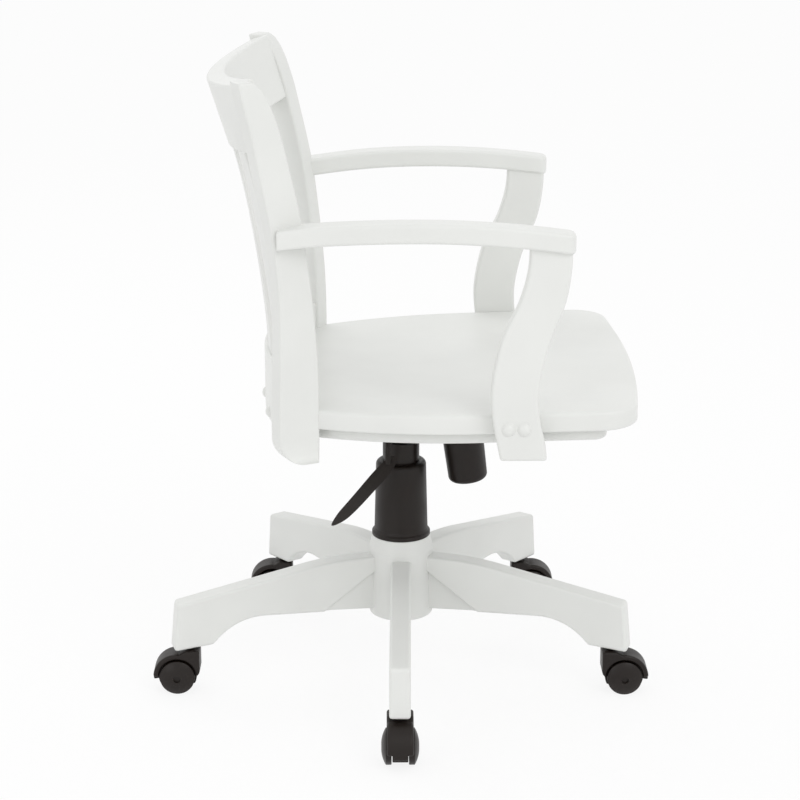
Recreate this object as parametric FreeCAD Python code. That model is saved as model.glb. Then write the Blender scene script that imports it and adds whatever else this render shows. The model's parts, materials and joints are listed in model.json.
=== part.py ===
import FreeCAD, Part
import os
from math import asin, atan2, cos, degrees, pi, radians, sin, sqrt, tan

# Bankers swivel chair: white painted wood seat, bowed slat back and arms, on a swivel, height and tilt
# mechanism over a five-leg base with hooded twin-wheel casters.
# Frame: origin on the floor under the column axis, +Z up, the seat faces -Y, the sitter's right is -X.
# All sizes are in millimetres and degrees.

V = FreeCAD.Vector
UP = V(0, 0, 1)
SIDES = {"right": -1, "left": 1}

# Casters
wheel_diameter = 48.0
wheel_width = 13.4
wheel_dome = 6.0
wheel_cap_radius = 5.0
wheel_inner_gap = 22.6
axle_radius = 3.0
running_gap = 0.05
caster_trail = 19.0
hood_clearance = 1.6
hood_wall = 7.9
hood_crown = 4.5
hood_width = 35.0
hood_web_width = 20.6
hood_wing_angle = 2.0
hood_tongue_angle = -9.0
stem_radius = 5.0
stem_length = 34.0
socket_radius = 7.5
socket_length = 32.0
caster_under_leg_gap = 1.6

# Base
leg_count = 5
base_turn = -0.8
stem_circle_radius = 307.0
leg_thickness = 28.0
leg_end_margin = 26.0
leg_end_height = 68.0
leg_end_slant = 6.5
leg_root_top = 170.3
leg_top_fall = 10.0
leg_top_bend_radius = 411.0
leg_ramp_radius = 88.0
leg_web_depth = 67.0
leg_web_start = 117.0
foot_pad_length = 55.0
hub_radius = 45.0
hub_bottom = 80.0
hub_top = 198.0
hub_shoulder = 178.0
hub_top_radius = 41.0
fin_thickness = 18.0
tongue_thickness = 16.0
tongue_height = 26.0
tongue_end = 158.0
wood_gap = 0.2
leg_screw_radius = 3.0
leg_screw_radii = (122.0, 146.0)

# Column
tube_radius = 25.6
tube_wall = 2.6
tube_top = 336.0
tube_floor = 4.0
bush_length = 44.0
cylinder_radius = 14.0
cylinder_wall = 2.5
cylinder_bottom = 108.0
cylinder_plug = 10.0
rod_radius = 5.0
rod_top = 230.0
piston_length = 8.0
bearing_radius = 14.0
bearing_height = 7.0
rod_collar_radius = 9.0
rod_collar_height = 2.5
cover_flange_ledge = 15.4
cover_flange_height = 4.5
cover_base_ledge = 11.9
cover_rim_ledge = 9.4
cover_height = 109.0
cover_wall = 2.4
cover_lip_round = 6.0

# Tilt mechanism
pivot_y = -36.0
pivot_z = 380.0
pivot_pin_radius = 5.0
housing_half_width = 42.0
housing_wall = 3.0
housing_front = -112.0
housing_rear = 52.0
housing_floor_z = 359.0
housing_front_top = 392.0
housing_rear_top = 372.0
socket_wall = 6.5
socket_bottom = 352.0
cylinder_top = 374.0
button_radius = 4.5
button_top = 381.0
plate_thickness = 3.0
plate_half_width = 75.0
plate_front = -125.0
plate_rear = 105.0
flange_side_gap = 1.0
flange_half_length = 24.0
flange_drop = 12.0
plate_bolt_x = 60.0
plate_bolt_inset = 15.0
plate_bolt_radius = 3.0
plate_bolt_head_radius = 6.0
plate_bolt_head = 3.2

# Seat
seat_slope = 1.6
seat_top = 450.0
seat_thickness = 26.0
seat_half_width = 258.5
seat_side_radius = 538.0
seat_widest_y = -102.0
seat_front_y = -318.0
seat_front_radius = 1800.0
seat_corner_radius = 52.0
seat_edge_round = 8.0
seat_dish_depth = 7.0
seat_dish_radius = 150.0
seat_dish_y = -95.0
seat_rear_overrun = 8.0
seat_rear_gap = 0.2
apron_thickness = 20.0
apron_inset = 24.0
apron_front_inset = 40.0
apron_corner_radius = 18.0
apron_edge_round = 6.0

# Back
stile_inset = 18.5
stile_turn = 25.5
stile_thickness = 30.0
stile_foot_round = 30.0
# Height, then the front and the rear of the stile's outer side at that height
stile_profile_x = 240.0
stile_profile = [
    (379.5, 107.0, 157.5), (409.5, 106.7, 157.5), (440.0, 106.5, 157.5), (500.0, 107.0, 156.0),
    (560.0, 110.5, 155.0),
    (620.0, 116.5, 157.0), (690.0, 125.5, 165.5), (760.0, 140.0, 178.5), (820.0, 155.0, 190.5),
    (840.0, 162.0, 195.5), (856.0, 169.5, 199.0), (866.0, 176.5, 201.0), (872.0, 184.0, 202.2)]
back_arc_radius = 465.0
crest_rear_y = 258.0
crest_top_z = 850.0
crest_recline = 17.6
crest_height = 92.0
crest_thickness = 26.0
rail_rear_y = 187.5
rail_bottom = 394.0
rail_height = 90.0
rail_thickness = 22.0
slat_count = 5
slat_spacing = 68.0
slat_width = 42.0
slat_thickness = 10.0
slat_ends = (478.0, 784.0)
# Height and the rear face of the middle slat at that height
slat_rows = [(470.0, 181.5), (523.0, 185.0), (587.0, 192.0), (650.0, 201.5), (711.0, 213.0), (756.0, 224.0),
             (800.0, 237.0)]
rail_bolt_x = (-90.0, 0.0, 90.0)
rail_bolt_z = 406.0
rail_bolt_radius = 3.5
rail_bolt_head_radius = 8.0
rail_bolt_head = 5.0
rail_bolt_grip = 35.0

# Arms
arm_width = 36.0
arm_thickness = 25.0
arm_top_z = 701.5
arm_crown_y = -30.0
arm_arch_radius = 1316.0
arm_rear_y = 158.0
arm_front_y = -215.0
# Place along the arm, then the distance of its centre line from the middle of the chair
arm_sweep = [(-190.0, 0.0), (-120.0, 0.068), (-45.0, 0.2), (13.0, 0.328), (60.0, 0.54), (90.0, 0.74),
             (115.0, 0.92), (140.0, 1.02), (166.0, 1.0)]
arm_front_inset = 2.0
arm_rear_inset = 8.5
arm_nose_round = 11.0
post_thickness = 24.0
post_lean = 3.6
post_contact_z = 425.0
# Height, then the rear and the front edge of the post at that height
post_rows = [
    (397.5, -123.0, -182.0), (412.0, -120.0, -181.0), (450.0, -113.0, -173.0), (485.0, -111.0, -171.0),
    (520.0, -115.5, -176.0), (560.0, -126.0, -187.5), (600.0, -145.0, -203.0), (640.0, -156.0, -210.0),
    (690.0, -158.0, -211.0)]
post_bolt_y = (-133.0, -153.0)
post_bolt_z = 438.5
post_bolt_radius = 3.0
post_bolt_head_radius = 9.0
post_bolt_head = 5.0
post_bolt_grip = 30.0
arm_screw_radius = 2.5
arm_screw_length = 46.0

# Tension knob, bolt and spring
knob_lean = 7.5
knob_y = -86.3
knob_top = 340.0
knob_height = 63.0
knob_top_radius = 28.6
knob_bottom_radius = 27.2
knob_round = 8.0
knob_wall = 3.0
knob_floor = 12.0
tension_bolt_radius = 5.0
tension_bolt_head_radius = 9.0
tension_bolt_head = 4.0
spring_coil_radius = 18.0
spring_wire_radius = 2.5
spring_turns = 7
washer_radius = 22.0
washer_thickness = 2.5

# Release lever
lever_radius = 4.2
lever_bend_radius = 14.0
lever_route = [(-33.0, 17.0, 383.0), (-58.0, 17.5, 383.0), (-72.0, 18.5, 349.0), (-80.0, 19.0, 326.0)]
lever_pin_x = -33.0
lever_pin_radius = 2.5
lever_pin_half_length = 13.0
lever_ear_thickness = 3.0
paddle_end = (-135.0, 95.0, 259.0)
paddle_width = 18.0
paddle_thickness = 5.0
paddle_root = 14.0
# Share of the paddle's length, then of its width across
paddle_rows = [(0.0, -0.2), (0.10, -0.5), (0.30, -0.6), (0.55, -0.62), (0.78, -0.57), (0.92, -0.36),
               (1.0, -0.02),
               (0.92, 0.19), (0.75, 0.29), (0.45, 0.37), (0.22, 0.42), (0.08, 0.36), (0.0, 0.1)]

wheel_radius = wheel_diameter / 2
axle_z = wheel_radius
hood_inner_radius = wheel_radius + hood_clearance
hood_outer_radius = hood_inner_radius + hood_wall
hood_top = axle_z + hood_outer_radius + hood_crown
leg_under = hood_top + caster_under_leg_gap
leg_end_radius = stem_circle_radius + leg_end_margin
cover_flange_radius = tube_radius + cover_flange_ledge
cover_base_radius = tube_radius + cover_base_ledge
cover_rim_radius = tube_radius + cover_rim_ledge
stile_outer_x = seat_half_width - stile_inset
# The profile was taken with the stile at stile_profile_x; it moves along the back's bow with the stile
stile_shift = sqrt(back_arc_radius ** 2 - stile_outer_x ** 2)
stile_shift -= sqrt(back_arc_radius ** 2 - stile_profile_x ** 2)
stile_rows = [(z, front + stile_shift, rear + stile_shift) for z, front, rear in stile_profile]
arm_front_x = seat_half_width - arm_front_inset
arm_rear_x = stile_outer_x - arm_rear_inset
arm_rows = [(y, arm_front_x + share * (arm_rear_x - arm_front_x)) for y, share in arm_sweep]


def polar(radius, angle, z=0.0):
    return V(radius * cos(radians(angle)), radius * sin(radians(angle)), z)


def rounded_wire(points, place):
    """Closed wire through (a, b, corner radius) points; place turns (a, b) into a vector."""
    edges = []
    ends = []
    count = len(points)
    for i, (a, b, radius) in enumerate(points):
        corner = V(a, b, 0)
        before = V(points[i - 1][0], points[i - 1][1], 0) - corner
        after = V(points[(i + 1) % count][0], points[(i + 1) % count][1], 0) - corner
        if radius <= 0:
            ends.append((corner, None, corner))
            continue
        before.normalize()
        after.normalize()
        half = before.getAngle(after) / 2
        reach = radius / tan(half)
        middle = before + after
        middle.normalize()
        apex = corner + middle * (radius / sin(half) - radius)
        ends.append((corner + before * reach, apex, corner + after * reach))
    for i, (start, apex, end) in enumerate(ends):
        if apex is not None:
            edges.append(Part.Arc(place(start), place(apex), place(end)).toShape())
        following = ends[(i + 1) % count][0]
        if (following - end).Length > 1e-6:
            edges.append(Part.LineSegment(place(end), place(following)).toShape())
    return Part.Wire(edges)


def prism(wire, along):
    return Part.Face(wire).extrude(along)


def side_plane(x):
    return lambda p: V(x, p.x, p.y)


def level_plane(z):
    return lambda p: V(p.x, p.y, z)


def bar(radius, start, end):
    along = end - start
    return Part.makeCylinder(radius, along.Length, start, along)


def tube(outer, inner, start, end):
    along = end - start
    unit = V(along).normalize()
    longer = bar(inner, start - unit, end + unit)
    return bar(outer, start, end).cut(longer)


def closed_spline(points):
    curve = Part.BSplineCurve()
    curve.interpolate(points, True)
    return Part.Wire([curve.toShape()])


def turned(shape, angle, point=V(0, 0, 0), axis=UP):
    copy = shape.copy()
    copy.rotate(point, axis, angle)
    return copy


def mirrored(shape):
    return shape.mirror(V(0, 0, 0), V(1, 0, 0))


def spline_edge(points):
    curve = Part.BSplineCurve()
    curve.interpolate(points)
    return curve.toShape()


def strip_wire(rows, place):
    """Closed outline from rows of (height, one edge, other edge) with smooth long edges."""
    one = [place(V(a, z, 0)) for z, a, b in rows]
    other = [place(V(b, z, 0)) for z, a, b in rows]
    caps = [Part.LineSegment(one[-1], other[-1]).toShape(), Part.LineSegment(other[0], one[0]).toShape()]
    return Part.Wire(Part.__sortEdges__([spline_edge(one), spline_edge(other)] + caps))


def dome_screw(head_radius, head_height, shank_radius, shank_length, base, outward):
    """Dome-headed screw: base is the middle of the head's underside."""
    unit = V(outward).normalize()
    ball = (head_radius ** 2 + head_height ** 2) / (2 * head_height)
    sphere = Part.makeSphere(ball, base + unit * (head_height - ball))
    head = sphere.common(bar(head_radius + 1, base, base + unit * (head_height + 1)))
    return head.fuse(bar(shank_radius, base - unit * shank_length, base + unit * 0.5)).removeSplitter()


def seat_tilted(shape):
    """Place a level seat-frame shape at the seat's resting slope, about the tilt pivot."""
    return turned(shape, -seat_slope, V(0, pivot_y, pivot_z), V(1, 0, 0))


# Base

def leg_outline():
    fall = tan(radians(leg_top_fall))
    end_top = leg_under + leg_end_height
    end_radius = leg_end_radius - leg_end_slant
    bend = end_radius - (leg_root_top - end_top) / fall
    pad_start = leg_end_radius - foot_pad_length
    pad_z = leg_under + foot_pad_length * 0.07
    web_z = leg_root_top - leg_web_depth
    bend_radius = min(leg_top_bend_radius, 0.9 * (bend - hub_radius) / tan(radians(leg_top_fall / 2)))
    return [
        (hub_radius - 4, leg_root_top, 0),
        (bend, leg_root_top, bend_radius),
        (end_radius, end_top, 5),
        (leg_end_radius, leg_under, 3),
        (pad_start, pad_z, 6),
        (pad_start - (web_z - pad_z) * 0.98, web_z, leg_ramp_radius),
        (leg_web_start, web_z - 7.5, 0),
        (hub_radius - 4, leg_root_top - 18, 0)]


def radial_plane(offset):
    return lambda p: V(p.x, offset, p.y)


def tongue_box(grow):
    low = leg_root_top - 58 - grow
    length = tongue_end - hub_radius + 10 + grow
    corner = V(hub_radius - 10, -tongue_thickness / 2 - grow, low)
    return Part.makeBox(length, tongue_thickness + 2 * grow, tongue_height + 2 * grow, corner)


def leg_screw_bars(radius):
    low = leg_root_top - leg_web_depth - 6.5
    return [bar(radius, V(r, 0, low), V(r, 0, leg_root_top - 34)) for r in leg_screw_radii]


def make_leg():
    half = leg_thickness / 2
    body = prism(rounded_wire(leg_outline(), radial_plane(-half)), V(0, leg_thickness, 0))
    body = body.cut(Part.makeCylinder(hub_radius + wood_gap, leg_root_top + 60, V(0, 0, 0)))
    body = body.cut(tongue_box(wood_gap))
    for screw in leg_screw_bars(leg_screw_radius):
        body = body.cut(screw)
    hole = bar(socket_radius, V(stem_circle_radius, 0, leg_under - 5),
               V(stem_circle_radius, 0, leg_under + 4 + socket_length))
    return body.cut(hole)


def make_fin():
    half = fin_thickness / 2
    web_z = leg_root_top - leg_web_depth
    outline = [(hub_radius - 8, leg_root_top - 22, 0), (leg_web_start - 4, web_z - 7, 0),
               (hub_radius - 8, web_z - 13, 0)]
    fin = prism(rounded_wire(outline, radial_plane(-half)), V(0, fin_thickness, 0))
    outline_leg = [(p[0], p[1], 0) for p in leg_outline()]
    leg = prism(rounded_wire(outline_leg, radial_plane(-half - 1)), V(0, fin_thickness + 2, 0))
    return fin.cut(leg).fuse(tongue_box(0))


def make_hub():
    profile = [(0, hub_bottom, 0), (hub_radius, hub_bottom, 3), (hub_radius, hub_shoulder, 12),
               (hub_top_radius, hub_top, 2), (0, hub_top, 0)]
    hub = Part.Face(rounded_wire(profile, lambda p: V(p.x, 0, p.y))).revolve(V(0, 0, 0), UP, 360)
    fin = make_fin()
    for screw in leg_screw_bars(leg_screw_radius):
        fin = fin.cut(screw)
    for angle in leg_angles:
        hub = hub.fuse(turned(fin, angle))
    return hub.cut(Part.makeCylinder(tube_radius, hub_top, V(0, 0, 0)))


def make_socket():
    low = V(stem_circle_radius, 0, leg_under + 1.0)
    high = V(stem_circle_radius, 0, leg_under + 3.4 + socket_length)
    return tube(socket_radius, stem_radius + running_gap, low, high)


leg_angles = [180.0 + base_turn + i * 360.0 / leg_count for i in range(leg_count)]


# Casters, in their own frame: stem on the Z axis, trailing towards +X, wheel axle along Y

def hood_shell(tip_angle, width):
    """Curved shell over the wheels, from the stem wall to its tip below the axle's height."""
    tip = radians(tip_angle)
    outer = hood_outer_radius
    inner = hood_inner_radius
    centre = caster_trail
    back = centre - outer + 2.0
    top_join = pi / 2 + 0.1

    def at(radius, angle):
        return V(centre + radius * cos(angle), 0, axle_z + radius * sin(angle))

    p_tip = at(outer, tip)
    p_top = at(outer, top_join)
    low = back + 4.0
    edges = [
        Part.Arc(p_tip, at(outer, (tip + top_join) / 2), p_top).toShape(),
        Part.LineSegment(p_top, V(8, 0, hood_top)).toShape(),
        Part.LineSegment(V(8, 0, hood_top), V(back, 0, hood_top)).toShape(),
        Part.LineSegment(V(back, 0, hood_top), V(back, 0, axle_z + 9)).toShape(),
        Part.Arc(V(back, 0, axle_z + 9), V(back + 1.2, 0, axle_z + 5), V(low, 0, axle_z + 2)).toShape(),
        Part.LineSegment(V(low, 0, axle_z + 2), at(inner, pi - 0.02)).toShape(),
        Part.Arc(at(inner, pi - 0.02), at(inner, pi / 2 + tip / 2), at(inner, tip)).toShape(),
        Part.LineSegment(at(inner, tip), p_tip).toShape()]
    wire = Part.Wire(edges)
    wire.translate(V(0, -width / 2, 0))
    return prism(wire, V(0, width, 0))


def make_hood():
    centre = caster_trail
    shell = hood_shell(hood_wing_angle, hood_width)
    tongue = hood_shell(hood_tongue_angle, hood_web_width)
    web_start = V(centre, -hood_web_width / 2, axle_z)
    web = bar(hood_inner_radius + 1, web_start, web_start + V(0, hood_web_width, 0))
    keep = Part.makeBox(200, 200, 200, V(-100, -100, axle_z - 12))
    hood = shell.fuse([tongue, web.common(keep)]).removeSplitter()
    hood = hood.cut(bar(stem_radius, V(0, 0, hood_top - 18), V(0, 0, hood_top + 5)))
    return hood.cut(bar(axle_radius, V(centre, -40, axle_z), V(centre, 40, axle_z)))


def make_caster_pins():
    stem = bar(stem_radius, V(0, 0, hood_top - 18), V(0, 0, hood_top + stem_length))
    reach = wheel_inner_gap / 2 + wheel_width - 3
    axle = bar(axle_radius, V(caster_trail, -reach, axle_z), V(caster_trail, reach, axle_z))
    return Part.Compound([stem, axle])


def make_wheel(side):
    inner = wheel_inner_gap / 2
    outer = inner + wheel_width
    bore = axle_radius + running_gap
    rim = outer - wheel_dome

    def at(radius, width):
        return V(caster_trail + radius, side * width, axle_z)

    tread = wheel_radius
    middle = (tread + wheel_cap_radius) / 2 + 1.5
    dome = outer - 0.36 * wheel_dome
    edges = [
        Part.LineSegment(at(bore, inner), at(tread - 1, inner)).toShape(),
        Part.Arc(at(tread - 1, inner), at(tread - 0.3, inner + 0.3), at(tread, inner + 1)).toShape(),
        Part.LineSegment(at(tread, inner + 1), at(tread, rim)).toShape(),
        Part.Arc(at(tread, rim), at(middle, dome), at(wheel_cap_radius, outer)).toShape(),
        Part.LineSegment(at(wheel_cap_radius, outer), at(wheel_cap_radius, outer - 2.6)).toShape(),
        Part.LineSegment(at(wheel_cap_radius, outer - 2.6), at(bore, outer - 2.6)).toShape(),
        Part.LineSegment(at(bore, outer - 2.6), at(bore, inner)).toShape()]
    face = Part.Face(Part.Wire(edges))
    return face.revolve(V(caster_trail, 0, axle_z), V(0, 1, 0), 360)


# The near caster trails outwards, the front pair towards the front and the rear pair towards the rear
caster_headings = [180.0, 270.0, 270.0, 90.0, 90.0]


def caster_place(shape, index):
    out = turned(shape, caster_headings[index])
    out.translate(polar(stem_circle_radius, leg_angles[index]))
    return out


# Column

def make_column_tube():
    floor_z = hub_bottom
    body = tube(tube_radius, tube_radius - tube_wall, V(0, 0, floor_z), V(0, 0, tube_top))
    inner = tube_radius - tube_wall
    floor_disc = tube(inner + 0.5, rod_radius + 0.3, V(0, 0, floor_z), V(0, 0, floor_z + tube_floor))
    return body.fuse(floor_disc).removeSplitter()


def make_column_bush():
    inner = tube_radius - tube_wall
    return tube(inner, cylinder_radius + running_gap, V(0, 0, tube_top - bush_length), V(0, 0, tube_top))


def make_thrust_bearing():
    low = hub_bottom + tube_floor
    return tube(bearing_radius, rod_radius + 0.3, V(0, 0, low), V(0, 0, low + bearing_height))


def make_piston_rod():
    low = hub_bottom - rod_collar_height - 0.3
    rod = bar(rod_radius, V(0, 0, low), V(0, 0, rod_top))
    collar = bar(rod_collar_radius, V(0, 0, low), V(0, 0, low + rod_collar_height))
    seat_z = hub_bottom + tube_floor + bearing_height + 0.05
    shoulder = bar(rod_collar_radius, V(0, 0, seat_z), V(0, 0, seat_z + 1.5))
    piston_radius = cylinder_radius - cylinder_wall - running_gap
    piston = bar(piston_radius, V(0, 0, rod_top - piston_length), V(0, 0, rod_top))
    return rod.fuse([collar, shoulder, piston]).removeSplitter()


def make_gas_cylinder():
    inner = cylinder_radius - cylinder_wall
    body = bar(cylinder_radius, V(0, 0, cylinder_bottom), V(0, 0, cylinder_top))
    body = body.cut(bar(inner, V(0, 0, cylinder_bottom + cylinder_plug), V(0, 0, cylinder_top - 22)))
    plug_top = cylinder_bottom + cylinder_plug
    body = body.cut(bar(rod_radius + running_gap, V(0, 0, cylinder_bottom - 1), V(0, 0, plug_top + 1)))
    return body.cut(bar(button_radius + running_gap, V(0, 0, cylinder_top - 12), V(0, 0, cylinder_top + 1)))


def make_valve_button():
    return bar(button_radius, V(0, 0, cylinder_top - 8), V(0, 0, button_top - 0.05))


def make_column_cover():
    low = hub_top
    profile = [(tube_radius + 0.1, low, 0), (cover_flange_radius, low, 0),
               (cover_flange_radius, low + cover_flange_height, 1.5),
               (cover_base_radius + 1.2, low + cover_flange_height + 2.5, 1),
               (cover_base_radius, low + cover_flange_height + 6, 0),
               (cover_rim_radius, low + cover_height, cover_lip_round),
               (tube_radius + 0.1, low + cover_height, 0),
               (tube_radius + 0.1, low + cover_height - cover_wall, 0),
               (cover_rim_radius - cover_wall, low + cover_height - cover_wall, 3),
               (cover_base_radius - cover_wall, low + 9, 0), (cover_base_radius - cover_wall, low + 3, 0),
               (tube_radius + 0.1, low + 3, 0)]
    face = Part.Face(rounded_wire(profile, lambda p: V(p.x, 0, p.y)))
    return face.revolve(V(0, 0, 0), UP, 360)


# Tilt mechanism

def make_tilt_housing():
    wall = housing_wall
    half = housing_half_width
    low = housing_floor_z
    outline = [(housing_front, low, 4), (housing_rear, low, 4), (housing_rear, housing_rear_top, 3),
               (pivot_y + 18, housing_front_top, 6), (housing_front, housing_front_top - 8, 5)]
    block = prism(rounded_wire(outline, side_plane(-half)), V(2 * half, 0, 0))
    hollow = Part.makeBox(2 * half - 2 * wall, housing_rear - housing_front - 2 * wall, 100,
                          V(-half + wall, housing_front + wall, low + wall))
    housing = block.cut(hollow)
    tower = bar(cylinder_radius + socket_wall, V(0, 0, socket_bottom), V(0, 0, cylinder_top - 2))
    housing = housing.fuse(tower)
    ear_low = low + wall - 0.5
    ear_top = lever_route[0][2] + lever_pin_radius + 2.0
    for sign in (-1, 1):
        y = lever_route[0][1] + sign * (lever_radius + 1.2 + lever_ear_thickness / 2)
        corner = V(lever_pin_x - 6, y - lever_ear_thickness / 2, ear_low)
        ear = Part.makeBox(12, lever_ear_thickness, ear_top - ear_low, corner)
        housing = housing.fuse(ear)
    housing = housing.removeSplitter()
    housing = housing.cut(bar(cylinder_radius, V(0, 0, socket_bottom - 1), V(0, 0, cylinder_top + 1)))
    reach = half + 5
    housing = housing.cut(bar(pivot_pin_radius, V(-reach, pivot_y, pivot_z), V(reach, pivot_y, pivot_z)))
    lever_y = lever_route[0][1]
    slot_low = lever_route[0][2] - lever_radius - 6.5
    slot = Part.makeBox(20, 2 * lever_radius + 6, 60, V(-half - 8, lever_y - lever_radius - 3, slot_low))
    housing = housing.cut(slot)
    housing = housing.cut(bar(lever_pin_radius, V(lever_pin_x, lever_y - 30, lever_route[0][2]),
                              V(lever_pin_x, lever_y + 30, lever_route[0][2])))
    side = tension_bolt_radius + 4
    fore = tension_bolt_radius + 6
    bolt_slot = Part.makeBox(2 * side, 2 * fore, 60, V(-side, -fore, knob_top + 15))
    return housing.cut(knob_tilted(bolt_slot))


def make_tilt_pin():
    reach = housing_half_width + flange_side_gap + plate_thickness + 3
    return bar(pivot_pin_radius, V(-reach, pivot_y, pivot_z), V(reach, pivot_y, pivot_z))


def make_lever_pin():
    y = lever_route[0][1]
    z = lever_route[0][2]
    half = lever_pin_half_length
    return bar(lever_pin_radius, V(lever_pin_x, y - half, z), V(lever_pin_x, y + half, z))


def apron_bottom():
    return seat_top - seat_thickness - apron_thickness


def make_seat_plate():
    top = apron_bottom()
    half = plate_half_width
    outline = [(-half, plate_front, 12), (half, plate_front, 12),
               (half, plate_rear, 12), (-half, plate_rear, 12)]
    plate = prism(rounded_wire(outline, level_plane(top - plate_thickness)), V(0, 0, plate_thickness))
    inner = housing_half_width + flange_side_gap
    low = pivot_z - flange_drop
    for sign in (-1, 1):
        x = sign * (inner + plate_thickness / 2) - plate_thickness / 2
        outline = [(pivot_y - flange_half_length, top - 1, 0), (pivot_y + flange_half_length, top - 1, 0),
                   (pivot_y + 10, low, 8), (pivot_y - 10, low, 8)]
        plate = plate.fuse(prism(rounded_wire(outline, side_plane(x)), V(plate_thickness, 0, 0)))
    plate = plate.removeSplitter()
    reach = inner + 20
    bore = pivot_pin_radius + running_gap
    plate = plate.cut(bar(bore, V(-reach, pivot_y, pivot_z), V(reach, pivot_y, pivot_z)))
    for bolt in plate_bolt_bars(plate_bolt_radius):
        plate = plate.cut(bolt)
    bolt = knob_tilted(bar(tension_bolt_radius, V(0, 0, knob_top), V(0, 0, knob_top + 110)))
    return seat_tilted(plate).cut(bolt)


def plate_bolt_places():
    ys = (plate_front + plate_bolt_inset, plate_rear - plate_bolt_inset)
    return [(sign * plate_bolt_x, y) for sign in (-1, 1) for y in ys]


def plate_bolt_bars(radius):
    low = apron_bottom() - plate_thickness - 1
    high = seat_top - seat_dish_depth - 7
    return [bar(radius, V(x, y, low), V(x, y, high)) for x, y in plate_bolt_places()]


def make_plate_bolts():
    low = apron_bottom() - plate_thickness
    length = seat_top - seat_dish_depth - 7 - low
    bolts = []
    for x, y in plate_bolt_places():
        base = V(x, y, low)
        bolt = dome_screw(plate_bolt_head_radius, plate_bolt_head, plate_bolt_radius, length, base, UP * -1)
        bolts.append(seat_tilted(bolt))
    return Part.Compound(bolts)


# Tension parts are drawn upright at the origin and then leaned and moved to their place

def knob_tilted(shape):
    out = shape.copy()
    out.translate(V(0, knob_y, 0))
    return turned(out, -knob_lean, V(0, knob_y, knob_top), V(1, 0, 0))


def make_tension_knob():
    low = knob_top - knob_height
    bore = tension_bolt_radius + running_gap
    profile = [(bore, low + 2, 0), (10, low + 2, 0), (10, low, 0), (knob_bottom_radius, low, knob_round),
               (knob_top_radius, knob_top, 1), (knob_top_radius - knob_wall, knob_top, 1),
               (knob_bottom_radius - knob_wall, low + knob_floor, 3), (bore, low + knob_floor, 0)]
    face = Part.Face(rounded_wire(profile, lambda p: V(p.x, 0, p.y)))
    return knob_tilted(face.revolve(V(0, 0, 0), UP, 360))


def washer_low():
    return knob_top - knob_height + knob_floor + 0.1


def make_spring_washer():
    low = washer_low()
    high = low + washer_thickness
    return knob_tilted(tube(washer_radius, tension_bolt_radius + 0.3, V(0, 0, low), V(0, 0, high)))


def make_tension_bolt():
    low = knob_top - knob_height + 4
    high = apron_bottom() - plate_thickness + 12
    shank = knob_tilted(bar(tension_bolt_radius, V(0, 0, low), V(0, 0, high)))
    plate_low = apron_bottom() - plate_thickness
    space = seat_tilted(Part.makeBox(300, 300, 200, V(-150, -250, plate_low - 200)))
    through_plate = Part.makeBox(300, 300, plate_thickness, V(-150, -250, plate_low))
    shank = shank.common(space.fuse(seat_tilted(through_plate)))
    nut = seat_tilted(bar(tension_bolt_head_radius, V(0, tension_bolt_y(), plate_low - tension_bolt_head),
                          V(0, tension_bolt_y(), plate_low)))
    return shank.fuse(nut).removeSplitter()


def tension_bolt_y():
    return knob_y + tan(radians(knob_lean)) * (apron_bottom() - plate_thickness - knob_top)


def biarc_edges(start, start_way, end, end_way):
    """Two arcs that join smoothly, from start to end with the given directions."""
    gap = end - start
    both = start_way + end_way
    turn = 2 * (1 - start_way.dot(end_way))
    reach = (-gap.dot(both) + sqrt(gap.dot(both) ** 2 + turn * gap.dot(gap))) / turn
    middle = (start + start_way * reach + end - end_way * reach) * 0.5
    return [arc_from(start, start_way, middle), arc_from(end, end_way * -1, middle)]


def arc_from(point, way, other):
    chord = other - point
    side = chord.cross(way).cross(chord)
    side.normalize()
    half = chord.getAngle(way) / 2
    apex = point + chord * 0.5 + side * (chord.Length / 2 * tan(half))
    if chord.getAngle(way) < 1e-6:
        return Part.LineSegment(point, other).toShape()
    return Part.Arc(point, apex, other).toShape()


def spring_length():
    low = washer_low() + washer_thickness + 0.1
    high = knob_top + (housing_floor_z - knob_top) / cos(radians(knob_lean)) - spring_lean_loss()
    return low, high


def spring_lean_loss():
    return 0.3 * (spring_coil_radius + spring_wire_radius) * tan(radians(knob_lean)) + 0.3


def least_gap(path, radius):
    """Least space between two passes of a round wire, measured on points 1 mm apart along its middle line."""
    points = path.discretize(Distance=1.0)
    skip = int(spring_coil_radius * pi)
    nearest = 1e9
    for i in range(len(points)):
        for j in range(i + skip, len(points)):
            nearest = min(nearest, (points[i] - points[j]).Length)
    return nearest - 2 * radius


def make_tension_spring():
    low, high = spring_length()
    low += spring_wire_radius
    high -= spring_wire_radius
    steps = 4 * spring_turns
    rise = (high - low) / steps

    def point(i):
        return polar(spring_coil_radius, 90.0 * i, low + rise * i)

    def way(i):
        out = polar(spring_coil_radius * pi / 2, 90.0 * i + 90.0, rise)
        return out.normalize()

    edges = []
    for i in range(steps):
        first, second = biarc_edges(point(i), way(i), point(i + 1), way(i + 1))
        edges += [first, second]
    path = Part.Wire(Part.__sortEdges__(edges))
    print("tension_spring least gap to itself: %.2f mm" % least_gap(path, spring_wire_radius))
    circle = Part.Wire(Part.Circle(point(0), way(0), spring_wire_radius).toShape())
    coil = path.makePipeShell([circle], True, False)
    return knob_tilted(coil)


# Release lever

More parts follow.
